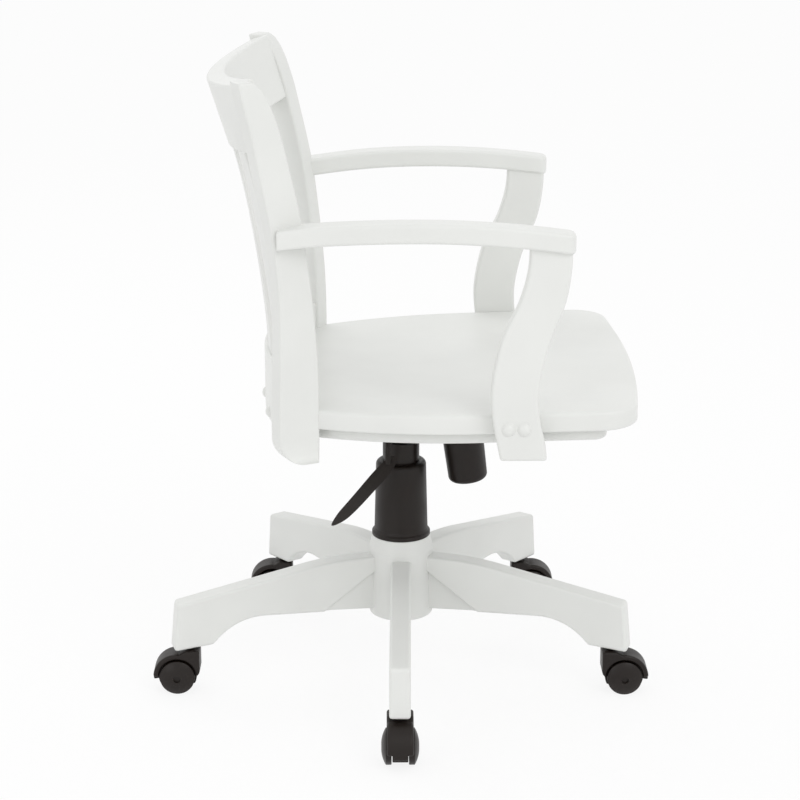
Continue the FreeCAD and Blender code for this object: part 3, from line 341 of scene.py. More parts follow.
# Stiles, turned outwards with the bow
STILE_TURN = radians(25.5)
STILE_OUT = 0.240
STILE_THICK = 0.030
STILE_ENDS = (0.002, 0.003)
FOOT_ROUND = 0.030
FOOT_START = 0.15
# Height, then the front and the rear edge of a stile's outer side at that height, in millimetres
STILE_ROWS = np.array([
    (379.5, 107.0, 157.5), (409.5, 106.7, 157.5), (440.0, 106.5, 157.5), (500.0, 107.0, 156.0),
    (560.0, 110.5, 155.0), (620.0, 116.5, 157.0), (690.0, 125.5, 165.5), (760.0, 140.0, 178.5),
    (820.0, 155.0, 190.5), (840.0, 162.0, 195.5), (856.0, 169.5, 199.0), (866.0, 176.5, 201.0),
    (872.0, 184.0, 202.2)]) * MM

# Crest rail, lower rail and slats
CREST_TOP = (0, 0.258, 0.850)
CREST_LEAN = radians(17.6)
CREST_HALF = 0.216
CREST_THICK = 0.026
CREST_TALL = 0.092
RAIL_HALF = 0.214
RAIL_THICK = 0.022
RAIL_TOP = 0.484
RAIL_LOW = 0.394
RAIL_ENDS = (0.001, 0.001)
SLAT_COUNT = 5
SLAT_SPACING = 0.068
SLAT_HALF = 0.021
SLAT_THICK = 0.0103
SLAT_EDGE = 0.003
SLAT_LOW = 0.478
SLAT_HIGH = 0.784
# Height and the rear face of the middle slat at that height, in millimetres
SLAT_ROWS = np.array([
    (470.0, 181.5), (523.0, 185.0), (587.0, 192.0), (650.0, 201.5), (711.0, 213.0), (756.0, 224.0),
    (800.0, 237.0)]) * MM

# Arm posts, leaned in about the height where they meet the seat's edge
POST_HIGH = 0.680
POST_THICK = 0.024
POST_LEAN = radians(3.6)
POST_CONTACT = 0.425
POST_ENDS = (0.003, 0.002)
POST_SOFTER = 0.0005
# Height, then the rear and the front edge of the post at that height, in millimetres
POST_ROWS = np.array([
    (397.5, -123.0, -182.0), (412.0, -120.0, -181.0), (450.0, -113.0, -173.0), (485.0, -111.0, -171.0),
    (520.0, -115.5, -176.0), (560.0, -126.0, -187.5), (600.0, -145.0, -203.0), (640.0, -156.0, -210.0),
    (690.0, -158.0, -211.0)]) * MM

# Arms: the arch is a circle with its crown a little in front of the column
ARM_FRONT = -0.215
ARM_REAR = 0.158
ARM_TOP = 0.7015
ARM_CROWN = -0.030
ARM_ARCH = 1.316
ARM_THICK = 0.025
ARM_WIDE = 0.036
ARM_NOSE = 0.011
ARM_ENDS = (0.004, 0.003)
# Place along the arm, then the distance of its centre line from the middle of the chair, in millimetres
ARM_ROWS = np.array([
    (-190.0, 256.5), (-120.0, 254.8), (-45.0, 251.5), (13.0, 248.3), (60.0, 243.0), (90.0, 238.0),
    (115.0, 233.5), (140.0, 231.0), (166.0, 231.5)]) * MM

# Seat and apron, drawn level and turned to their slope about the tilt pin
PIVOT = (0, -0.036, 0.380)
SEAT_SLOPE = radians(1.6)
SEAT_HALF = 0.2585
SEAT_SIDE = 0.538
SEAT_WIDEST = -0.102
SEAT_FRONT = -0.318
SEAT_FRONT_ARC = 1.8
SEAT_CORNER = 0.052
SEAT_SIDE_END = 0.108
SEAT_TOP = 0.450
SEAT_THICK = 0.026
SEAT_MIDDLE = (0, -0.095)
SEAT_IN_RAIL = 0.002
SEAT_REAR_CORNER = 0.012
LOWER_EDGE_SHARE = 0.6
APRON_THICK = 0.020
APRON_MARGIN = 0.024
APRON_FRONT_MARGIN = 0.040
APRON_CORNER = 0.018
APRON_SIDE_END = 0.122
APRON_EDGE = 0.006
FLAT_LIP = 0.0012
SEAT_STEP = 0.006
APRON_STEP = 0.008

# Legs, hub and webs
LEG_UNDER = 0.0636
LEG_END = 0.333
LEG_END_TALL = 0.068
LEG_END_LEAN = 0.0065
LEG_LEAN_RUN = 0.06
LEG_FALL = radians(10.0)
LEG_BEND = 0.411
LEG_ROOT = 0.1703
LEG_IN_HUB = 0.030
LEG_START = 0.036
LEG_HALF = 0.014
LEG_TONGUE_TALL = 0.014
LEG_MIDDLE_TALL = 0.067
LEG_PAD = 0.055
LEG_PAD_SLOPE = 0.07
LEG_HOLLOW = 0.088
LEG_HOLLOW_SLOPE = 0.98
LEG_PAD_CORNER = 0.007
LEG_ENDS = (0.001, 0.0045)
LEG_ANGLES = [radians(180.0 - 0.8 + 72.0 * i) for i in range(5)]
HUB_BORE = 0.0256
HUB_RADIUS = 0.045
HUB_NECK = 0.041
HUB_LOW = 0.080
HUB_SHOULDER = 0.178
HUB_HIGH = 0.198
WEB_END = 0.117
WEB_RUN = (0.038, 0.114)
WEB_DROP = 0.0075
WEB_HALF = 0.009
# Distance from the column, then how far the web's lower edge lies under the leg's root
WEB_ROWS = ((0.037, 0.080), (WEB_END, 0.0738))

# Casters
STEM_RADIUS = 0.307
TRAIL = 0.019
AXLE_Z = 0.024
HOOD_OUT = 0.0335
HOOD_IN = 0.0256
HOOD_TOP = 0.062
HOOD_HALF = 0.0175
HOOD_EDGE = 0.0034
HOOD_WEB = 0.0266
HOOD_WEB_HALF = 0.0103
HOOD_WEB_DROP = 0.012
# The near caster trails outwards, the front pair forwards and the rear pair backwards
HEADINGS = (180, 270, 270, 90, 90)

# Tilt spring: it leans with the tension bolt about a point on the bolt's axis
SPRING_TURNS = 7
SPRING_COIL = 0.018
SPRING_WIRE = 0.0025
SPRING_LOW = 0.2942
SPRING_HIGH = 0.35555
SPRING_LEAN = radians(7.5)
SPRING_PIVOT = (-0.0863, 0.340)

# Stage: each lamp's name, place, width and share of the key light's power
FLOOR_HALF = 30
FLOOR_SHINE = 0.86
LAMPS = (("key", (-2.2, -1.6, 2.6), 1.6, 1.0), ("rim", (1.8, 1.2, 2.4), 1.4, 0.45),
         ("low", (-2.4, 1.8, 0.9), 1.2, 0.25))
LAMPS_AIM = (0, 0, 0.5)
CAMERA_PLACE = (-2.93567, 0.029216, 1.294632)
CAMERA_YAW = -0.0094427
CAMERA_PITCH = 0.2977463
CAMERA_SENSOR = 36


def stile_corners():
    """Corner lines of the left stile from foot to top: outer rear, outer front, inner front, inner rear.
    The rear edge of the foot follows a quarter circle."""
    low, high = STILE_ROWS[0, 0], STILE_ROWS[-1, 0]
    turn = np.linspace(FOOT_START, pi / 2, 12)
    foot = low + FOOT_ROUND * (1 - np.cos(turn))
    z = np.concatenate(([low], foot, np.linspace(low + FOOT_ROUND, high, 70)[1:]))
    front = through(STILE_ROWS[:, 0], STILE_ROWS[:, 1], z)
    rear = through(STILE_ROWS[:, 0], STILE_ROWS[:, 2], z)
    height = np.clip((z - low) / FOOT_ROUND, 0, 1)
    rear = rear - FOOT_ROUND * (1 - quarter(height))
    depth = (rear - front) / cos(STILE_TURN)
    outer_rear = np.column_stack((np.full_like(z, STILE_OUT), rear, z))
    outer_front = np.column_stack((STILE_OUT - depth * sin(STILE_TURN), front, z))
    across = np.array((-cos(STILE_TURN), sin(STILE_TURN), 0)) * STILE_THICK
    return np.stack((outer_rear, outer_front, outer_front + across, outer_rear + across), axis=1)


def post_corners():
    """Corner lines of the left arm post: at a height z on the post and a distance h from its inner face, x is
    h * cos(lean) less the rise over the contact times sin(lean), and z the turned one."""
    z = np.linspace(POST_ROWS[0, 0], POST_HIGH, 60)
    rear = through(POST_ROWS[:, 0], POST_ROWS[:, 1], z)
    front = through(POST_ROWS[:, 0], POST_ROWS[:, 2], z)
    lines = []
    for y, h in ((rear, 0.0), (front, 0.0), (front, POST_THICK), (rear, POST_THICK)):
        x = SEAT_HALF + h * cos(POST_LEAN) - (z - POST_CONTACT) * sin(POST_LEAN)
        up = POST_CONTACT + h * sin(POST_LEAN) + (z - POST_CONTACT) * cos(POST_LEAN)
        lines.append(np.column_stack((x, y, up)))
    return np.stack(lines, axis=1)


def arm_corners():
    """Corner lines of the left arm from nose to stile: the arch is a circle, the plan a smooth curve that
    runs straight in front of its first knot, and the nose is rounded by a quarter circle on each side."""
    y = np.linspace(ARM_FRONT, ARM_REAR, 80)
    knots, centres = ARM_ROWS.T
    x = np.where(y <= knots[0], centres[0], through(knots, centres, np.maximum(y, knots[0])))
    top = ARM_TOP - ARM_ARCH + np.sqrt(ARM_ARCH**2 - (y - ARM_CROWN) ** 2)
    nose = np.clip((y - ARM_FRONT) / ARM_NOSE, 0, 1)
    half = ARM_WIDE / 2 - ARM_NOSE * (1 - quarter(nose))
    lines = [np.column_stack((x + side * half, y, top - drop))
             for side, drop in ((-1, 0), (1, 0), (1, ARM_THICK), (-1, ARM_THICK))]
    return np.stack(lines, axis=1)


def flipped(shape, side):
    """The left-hand shape for side 1, or its mirror image for side -1."""
    points, grain, faces = shape
    return turned_right_way(points * (side, 1, 1), grain, faces)


def tilted(points):
    """Seat pieces drawn level, turned to the seat's resting slope about the tilt pin."""
    c, s = cos(SEAT_SLOPE), sin(SEAT_SLOPE)
    y, z = points[:, 1] - PIVOT[1], points[:, 2] - PIVOT[2]
    return np.column_stack((points[:, 0], PIVOT[1] + y * c + z * s, PIVOT[2] - y * s + z * c))


def sloped_board(rings):
    """A board from rings drawn level, at the seat's slope, with its grain from front to back."""
    flat = rings.reshape(-1, 3)
    return turned_right_way(tilted(flat), flat[:, (1, 0, 2)], skin(rings))


def seat_outline(margin, front_margin, corner, side_end):
    """Half outline from the rear middle round the side to the front middle, mirrored to the whole.
    The side is an arc from the widest point back, the front an arc between tangent corner arcs, and the
    rear an arc in the back rail, a little behind its front face."""
    half = SEAT_HALF - margin
    y = np.linspace(side_end, SEAT_WIDEST, 30)
    side_x = SEAT_HALF - SEAT_SIDE + np.sqrt(SEAT_SIDE**2 - (y - SEAT_WIDEST) ** 2) - margin
    side = np.column_stack((side_x, y))
    centre_y = SEAT_FRONT + front_margin + SEAT_FRONT_ARC
    corner_y = centre_y - np.sqrt((SEAT_FRONT_ARC - corner) ** 2 - (half - corner) ** 2)
    turn = asin((half - corner) / (SEAT_FRONT_ARC - corner))
    angle = np.linspace(0, -(pi / 2 - turn), 14)
    bend = np.column_stack((half - corner + corner * np.cos(angle), corner_y + corner * np.sin(angle)))
    sweep = np.linspace(turn, 0, 16)
    front = np.column_stack((SEAT_FRONT_ARC * np.sin(sweep), centre_y - SEAT_FRONT_ARC * np.cos(sweep)))
    radius = ARC - RAIL_THICK + SEAT_IN_RAIL
    rear_x = np.linspace(0, side[0, 0] - SEAT_REAR_CORNER, 18)
    rear = np.column_stack((rear_x, BOW_CENTRE + np.sqrt(radius**2 - rear_x**2)))
    run = np.concatenate((rear, side, bend, front[1:]))
    mirror = run[::-1] * (-1, 1)
    return anticlockwise(np.concatenate((run, mirror[1:-1])))


def dish(x, y, depth):
    """Depth of the seat's hollow: a flat rim, a smooth step down into the hollow, two shallow runs for the
    legs out to the front edge and a low ridge between them. The steps are eased from one side of a line to
    the other, the runs and the ridge are bell curves across the seat."""
    rim, rim_fall = 0.222, 0.075
    rear_line, rear_bow, rear_fall = 0.112, 1.1, 0.085
    front_line, front_rise, front_share = -0.305, 0.10, 0.45
    run_middle, run_wide, run_start, run_end, run_depth = 0.112, 0.058, -0.13, -0.33, 0.0028
    ridge_wide, ridge_start, ridge_height = 0.04, -0.10, 0.0022
    blend, end_blend = 0.12, 0.02
    side = eased((rim - np.abs(x)) / rim_fall)
    rear = eased((rear_line - x**2 * rear_bow - y) / rear_fall)
    front = eased((y - front_line) / front_rise)
    runs = np.exp(-((np.abs(x) - run_middle) / run_wide) ** 2)
    runs = runs * eased((run_start - y) / blend) * eased((y - run_end) / end_blend)
    ridge = np.exp(-((x / ridge_wide) ** 2)) * eased((ridge_start - y) / blend)
    hollow = depth * side * rear * (front_share + (1 - front_share) * front)
    return hollow + run_depth * runs * side - ridge_height * ridge * front


def leg_lines():
    """Top and underside of a leg as (distance from the column, height) curves with rounded corners."""
    end_top = LEG_UNDER + LEG_END_TALL
    end = LEG_END - LEG_END_LEAN
    bend = end - (LEG_ROOT - end_top) / tan(LEG_FALL)
    middle = LEG_ROOT - LEG_MIDDLE_TALL
    pad = LEG_END - LEG_PAD
    pad_z = LEG_UNDER + LEG_PAD * LEG_PAD_SLOPE
    hollow = pad - (middle - pad_z) * LEG_HOLLOW_SLOPE
    top = rounded([(LEG_IN_HUB, LEG_ROOT, 0), (bend, LEG_ROOT, LEG_BEND), (end, end_top, 0)], 14)
    under = rounded([(LEG_IN_HUB, LEG_ROOT - LEG_TONGUE_TALL, 0), (WEB_END, middle - WEB_DROP, 0),
                     (hollow, middle, LEG_HOLLOW), (pad, pad_z, LEG_PAD_CORNER), (LEG_END, LEG_UNDER, 0)], 10)
    return top, under


def leg_corners(angle):
    """Corner lines of a leg: the underside at r, the top at r less a lean that grows towards the end."""
    top, under = leg_lines()
    r = np.unique(np.concatenate((np.linspace(LEG_START, LEG_END, 60), under[1:-1, 0])))
    lean = LEG_END_LEAN * np.clip((r - (LEG_END - LEG_LEAN_RUN)) / LEG_LEAN_RUN, 0, 1)
    z_under = np.interp(r, under[:, 0], under[:, 1])
    z_top = np.interp(r - lean, top[:, 0], top[:, 1])
    return spoke(angle, r - lean, z_top, r, z_under, LEG_HALF)


def spoke(angle, r_top, z_top, r_under, z_under, half):
    """Corner lines of a member that runs out from the column, between an upper and a lower line."""
    out = np.array((cos(angle), sin(angle), 0))
    side = np.array((-sin(angle), cos(angle), 0))
    up = np.array((0, 0, 1.0))
    lines = ((r_top, z_top, -half), (r_top, z_top, half), (r_under, z_under, half), (r_under, z_under, -half))
    return np.stack([r[:, None] * out + s * side + z[:, None] * up for r, z, s in lines], axis=1)


def hub_profile():
    """Outline of the turned hub as (distance from the column, height)."""
    return rounded([(HUB_BORE, HUB_LOW, 0), (HUB_RADIUS, HUB_LOW, 0.004), (HUB_RADIUS, HUB_SHOULDER, 0.012),
                    (HUB_NECK, HUB_HIGH, 0.002), (HUB_BORE, HUB_HIGH, 0)], 7)


def turned(profile, steps):
    """A closed profile turned about the column: a point at angle t is (-r * sin t, r * cos t, height)."""
    angle = np.linspace(0, 2 * pi, steps, endpoint=False)
    ring = np.column_stack((-np.sin(angle), np.cos(angle), np.zeros(steps)))
    points = profile[:, :1, None] * ring + profile[:, 1:, None] * (0, 0, 1)
    count = len(profile)
    k, i = np.meshgrid(np.arange(count), np.arange(steps), indexing="ij")
    kk = (k + 1) % count
    j = (i + 1) % steps
    quads = np.stack((k * steps + i, k * steps + j, kk * steps + j, kk * steps + i), axis=-1)
    flat = points.reshape(-1, 3)
    return turned_right_way(flat, flat, quads.reshape(-1, 4).tolist())


def caster_frame(index):
    """Where a caster's own coordinates go: origin under its stem, first axis the way it trails."""
    stem = LEG_ANGLES[index]
    return z_turn(radians(HEADINGS[index])), np.array((STEM_RADIUS * cos(stem), STEM_RADIUS * sin(stem), 0))


def z_turn(angle):
    """Matrix of a turn about the vertical."""
    return np.array(((cos(angle), -sin(angle), 0), (sin(angle), cos(angle), 0), (0, 0, 1)))


def plate_lines(upper, lower, half):
    """Corner lines of a plate between an upper and a lower curve of (s, z), half its width each side."""
    section = ((upper, -half), (upper, half), (lower, half), (lower, -half))
    return np.stack([np.column_stack((line[:, 0], np.full(len(line), side), line[:, 1]))
                     for line, side in section], axis=1)


def around_wheel(radius, start, end, count):
    """Arc about the wheels' axle, from one angle to another in degrees."""
    angle = np.radians(np.linspace(start, end, count))
    return np.column_stack((TRAIL + radius * np.cos(angle), AXLE_Z + radius * np.sin(angle)))


def hood_shell():
    """The hood over both wheels: an arc round the axle that runs into a flat top and a flat back. Two short
    steps each take its line round the top's corners and the foot of the back."""
    back = TRAIL - HOOD_OUT + 0.002
    top = np.column_stack((np.linspace(0.004, back + 0.002, 6), np.full(6, HOOD_TOP)))
    fall = np.column_stack((np.full(8, back), np.linspace(HOOD_TOP - 0.004, AXLE_Z + 0.009, 8)))
    outer = np.concatenate((
        around_wheel(HOOD_OUT, 2, 96, 28), [(0.0085, HOOD_TOP - 0.0006), (0.006, HOOD_TOP)], top,
        [(back + 0.0006, HOOD_TOP - 0.0006), (back, HOOD_TOP - 0.002)], fall,
        [(back + 0.0012, AXLE_Z + 0.005), (back + 0.004, AXLE_Z + 0.002)]))
    inner = np.concatenate((around_wheel(HOOD_IN, 2, 96, 28),
                            around_wheel(HOOD_IN, 99, 178.5, len(outer) - 28)))
    return beam(plate_lines(outer, inner, HOOD_HALF), HOOD_EDGE, (0.002, 0.001), 5, 0, 0.0004)


def hood_web():
    """The web between the wheels, round above and cut off level below, or by its own round."""
    angle = np.radians(np.linspace(172, 8, 40))
    s = TRAIL + HOOD_WEB * np.cos(angle)
    top = np.column_stack((s, AXLE_Z + HOOD_WEB * np.sin(angle)))
    drop = np.minimum(HOOD_WEB_DROP, np.sqrt(np.maximum(HOOD_WEB**2 - (s - TRAIL) ** 2, 0)))
    low = np.column_stack((s, AXLE_Z - drop))
    return beam(plate_lines(top, low, HOOD_WEB_HALF), 0.0012, (0.0004, 0.0004), 3, 0)


def hood_tongue():
    """The tongue that runs on from the hood's rim, down between the wheels."""
    lines = plate_lines(around_wheel(HOOD_OUT, 6, -9, 8), around_wheel(HOOD_IN, 6, -9, 8), HOOD_WEB_HALF)
    return beam(lines, 0.0015, (0.0004, 0.0015), 3, 0)


# Materials

def linear(code):
    """sRGB hex to linear colour."""
    value = np.array([int(code[i:i + 2], 16) for i in (1, 3, 5)]) / 255
    value = np.where(value <= 0.04045, value / 12.92, ((value + 0.055) / 1.055) ** 2.4)
    return (*value, 1.0)


def node(tree, kind, links=None, **settings):
    """Adds a node with its settings; links maps an input to a node's output socket or a value."""
    new = tree.nodes.new(kind)
    for key, value in settings.items():
        setattr(new, key, value)
    for key, value in (links or {}).items():
        socket = new.inputs[key]
        if isinstance(value, bpy.types.NodeSocket):
            tree.links.new(value, socket)
        else:
            socket.default_value = value
    return new


def seen(tree):
    """Share of the background's own white: 1 for rays from the camera and for those that gloss or clear
    pieces send on, 0 for the rays that light the chair."""
    path = node(tree, "ShaderNodeLightPath")
    straight = node(tree, "ShaderNodeMath", {
        0: path.outputs["Is Camera Ray"], 1: path.outputs["Is Glossy Ray"]}, operation="ADD", use_clamp=True)
    return node(tree, "ShaderNodeMath", {0: straight.outputs[0], 1: path.outputs["Is Transmission Ray"]},
                operation="ADD", use_clamp=True).outputs[0]


def blank(name):
    """A new material with an empty tree and its output node."""
    material = bpy.data.materials.new(name)
    material.use_nodes = True
    tree = material.node_tree
    tree.nodes.clear()
    output = tree.nodes.new("ShaderNodeOutputMaterial")
    return material, tree, output


def shades(code, low, high):
    """Two linear colours, a little darker and lighter than the given one."""
    base = linear(code)
    return [tuple(min(1.0, c * f) for c in base[:3]) + (1.0,) for f in (low, high)]


def painted_beech(code):
    """Satin acrylic lacquer sprayed on sanded beech: nearly white, with the grain only as a faint relief
    along each piece and the slightest drift of tone, which the eye reads as wood under paint. The grain
    attribute holds the place in the piece, with the run of its grain first."""
    material, tree, output = blank("satin_lacquer_on_beech")
    grain = node(tree, "ShaderNodeAttribute", attribute_name="grain", attribute_type="GEOMETRY")
    # Beech rays and pores run along the piece: 2.4 mm across and 70 mm long, coarser than the real ones, so
    # that they show
    place = grain.outputs["Vector"]
    along = node(tree, "ShaderNodeMapping", {"Vector": place, "Scale": (14.0, 420.0, 420.0)})
    fibres = node(tree, "ShaderNodeTexNoise", {
        "Vector": along.outputs[0], "Scale": 1.0, "Detail": 3.0, "Roughness": 0.6})
    # Orange peel of the sprayed coat, about 1.5 mm, drawn at that size so that it shows close up
    peel = node(tree, "ShaderNodeTexNoise", {"Vector": place, "Scale": 650.0, "Detail": 1.0})
    # Slow drift of tone over a hand's width
    drift = node(tree, "ShaderNodeTexNoise", {"Vector": place, "Scale": 9.0, "Detail": 2.0})
    dark, light = shades(code, 0.975, 1.015)
    tone = node(tree, "ShaderNodeValToRGB", {"Fac": drift.outputs["Fac"]})
    for element, position, colour in zip(tone.color_ramp.elements, (0.3, 0.7), (dark, light)):
        element.position = position
        element.color = colour
    rough = node(tree, "ShaderNodeMapRange", {
        "Value": fibres.outputs["Fac"], "From Min": 0.3, "From Max": 0.7, "To Min": 0.36, "To Max": 0.46})
    height = node(tree, "ShaderNodeMath", {0: fibres.outputs["Fac"], 1: 0.7}, operation="MULTIPLY")
    both = node(tree, "ShaderNodeMath", {0: peel.outputs["Fac"], 1: 0.25, 2: height.outputs[0]},
                operation="MULTIPLY_ADD")
    bump = node(tree, "ShaderNodeBump", {"Height": both.outputs[0], "Strength": 0.10, "Distance": 0.0006})
    shader = node(tree, "ShaderNodeBsdfPrincipled", {
        "Base Color": tone.outputs["Color"], "Roughness": rough.outputs[0], "Normal": bump.outputs[0],
        "IOR": 1.47, "Coat Weight": 0.12, "Coat Roughness": 0.25})
    tree.links.new(shader.outputs[0], output.inputs[0])
    return material


def sprayed_steel_white(code):
    """White lacquer on steel bolt heads: the same tone as the wood, a little glossier, with a fine peel of
    about 1.1 mm and a drift of tone over 17 mm."""
    material, tree, output = blank("satin_lacquer_on_steel")
    place = node(tree, "ShaderNodeTexCoord")
    peel = node(tree, "ShaderNodeTexNoise", {
        "Vector": place.outputs["Object"], "Scale": 900.0, "Detail": 2.0})
    drift = node(tree, "ShaderNodeTexNoise", {"Vector": place.outputs["Object"], "Scale": 60.0})
    dark, light = shades(code, 0.96, 1.02)
    tone = node(tree, "ShaderNodeMix", {"Factor": drift.outputs["Fac"], "A": dark, "B": light},
                data_type="RGBA")
    bump = node(tree, "ShaderNodeBump", {
        "Height": peel.outputs["Fac"], "Strength": 0.12, "Distance": 0.0003})
    shader = node(tree, "ShaderNodeBsdfPrincipled", {
        "Base Color": tone.outputs["Result"], "Roughness": 0.32, "Normal": bump.outputs[0], "IOR": 1.48})
    tree.links.new(shader.outputs[0], output.inputs[0])
    return material


def moulded(name, code, grit, rough, relief):
    """Black moulded nylon or stoved enamel: a fine relief of grit points to the metre, 1.3 to 2.4 mm wide and
    coarser than real, so that it shows, and a sheen that varies over some 36 mm, as on a handled piece."""
    material, tree, output = blank(name)
    place = node(tree, "ShaderNodeTexCoord")
    fine = node(tree, "ShaderNodeTexNoise", {
        "Vector": place.outputs["Object"], "Scale": grit, "Detail": 3.0, "Roughness": 0.65})
    broad = node(tree, "ShaderNodeTexNoise", {
        "Vector": place.outputs["Object"], "Scale": 28.0, "Detail": 2.0})
    dark, light = shades(code, 0.85, 1.22)
    tone = node(tree, "ShaderNodeMix", {"Factor": broad.outputs["Fac"], "A": dark, "B": light},
                data_type="RGBA")
    sheen = node(tree, "ShaderNodeMapRange", {
        "Value": broad.outputs["Fac"], "From Min": 0.3, "From Max": 0.7,
        "To Min": rough - 0.05, "To Max": rough + 0.07})
    bump = node(tree, "ShaderNodeBump", {
        "Height": fine.outputs["Fac"], "Strength": relief, "Distance": 0.0005})
    shader = node(tree, "ShaderNodeBsdfPrincipled", {
        "Base Color": tone.outputs["Result"], "Roughness": sheen.outputs[0], "Normal": bump.outputs[0],
        "IOR": 1.46, "Specular IOR Level": 0.36})
    tree.links.new(shader.outputs[0], output.inputs[0])
    return material


def plated(name, code):
    """Zinc plating on steel: dull silver, metallic, with a faint clouding of about 8 mm."""
    material, tree, output = blank(name)
    place = node(tree, "ShaderNodeTexCoord")
    cloud = node(tree, "ShaderNodeTexNoise", {
        "Vector": place.outputs["Object"], "Scale": 120.0, "Detail": 4.0})
    dark, light = shades(code, 0.8, 1.08)
    tone = node(tree, "ShaderNodeMix", {"Factor": cloud.outputs["Fac"], "A": dark, "B": light},
                data_type="RGBA")
    rough = node(tree, "ShaderNodeMapRange", {
        "Value": cloud.outputs["Fac"], "From Min": 0.3, "From Max": 0.7, "To Min": 0.28, "To Max": 0.42})
    shader = node(tree, "ShaderNodeBsdfPrincipled", {
        "Base Color": tone.outputs["Result"], "Roughness": rough.outputs[0], "Metallic": 1.0})
    tree.links.new(shader.outputs[0], output.inputs[0])
    return material


def seamless_paper(colour):
    """The studio's pale paper floor: matt, with the chair's shadow, and nearly its own white to the camera.
    From below it is clear, so that the underside can be looked at."""
    material, tree, output = blank("seamless_paper")
    paper = node(tree, "ShaderNodeBsdfDiffuse", {"Color": (*colour, 1.0)})
    white = node(tree, "ShaderNodeEmission", {"Color": (1, 1, 1, 1), "Strength": 1.0})
    share = node(tree, "ShaderNodeMath", {0: seen(tree), 1: FLOOR_SHINE}, operation="MULTIPLY")
    both = node(tree, "ShaderNodeMixShader", {0: share.outputs[0], 1: paper.outputs[0], 2: white.outputs[0]})
    side = node(tree, "ShaderNodeNewGeometry")
    clear = node(tree, "ShaderNodeBsdfTransparent")
    sheet = node(tree, "ShaderNodeMixShader", {
        0: side.outputs["Backfacing"], 1: both.outputs[0], 2: clear.outputs[0]})
    tree.links.new(sheet.outputs[0], output.inputs[0])
    return material


MATERIALS = {}


def cad_finish(cad_node, name):
    """Gives a carried-over CAD node its finish."""
    obj = frame["nodes"][cad_node]
    if not obj.material_slots:
        obj.data.materials.append(None)
    for s in obj.material_slots:
        s.link = "OBJECT"
        s.material = MATERIALS[name]


# Operators

class CHAIR_OT_finishes(bpy.types.Operator):
    """Makes the materials and gives the CAD pieces theirs"""
    bl_idname = "chair.finishes"
    bl_label = "Finishes"

    def execute(self, context):
        c = context.scene.chair_colours
        MATERIALS["paint"] = painted_beech(c.paint)
        MATERIALS["white_steel"] = sprayed_steel_white(c.paint)
        MATERIALS["moulding"] = moulded("moulded_nylon", c.moulding, 750.0, 0.42, 0.25)
        MATERIALS["wheel"] = moulded("turned_nylon_wheel", c.wheel, 500.0, 0.36, 0.12)
        MATERIALS["enamel"] = moulded("stoved_enamel_on_steel", c.enamel, 420.0, 0.38, 0.15)
        MATERIALS["zinc"] = plated("zinc_plated_steel", c.zinc)
        by_slot = {"white_wood": "paint", "white_bolt": "white_steel", "zinc_steel": "zinc",
                   "black_steel": "enamel", "black_plastic": "moulding", "wheel_plastic": "wheel"}
        for sub in frame["record"]["subparts"]:
            cad_finish(sub["node"], by_slot[sub["material_slot"]])
        # The ends of the axles are blackened, since the photo shows no bright dot in the wheels
        for n in range(1, 6):
            cad_finish("caster_pins_%d" % n, "enamel")
        return {"FINISHED"}


class CHAIR_OT_stiles(bpy.types.Operator):
    """Builds the two back stiles, boards turned outwards with the back's bow"""
    bl_idname = "chair.stiles"
    bl_label = "Back stiles"

    def execute(self, context):
        s = context.scene.chair_sizes
        left = beam(stile_corners(), s.board_edge, STILE_ENDS, s.corner_steps)
        for name, side in SIDES:
            wooden("stile_" + name, flipped(left, side), "seat", "back_stile_" + name)
        return {"FINISHED"}


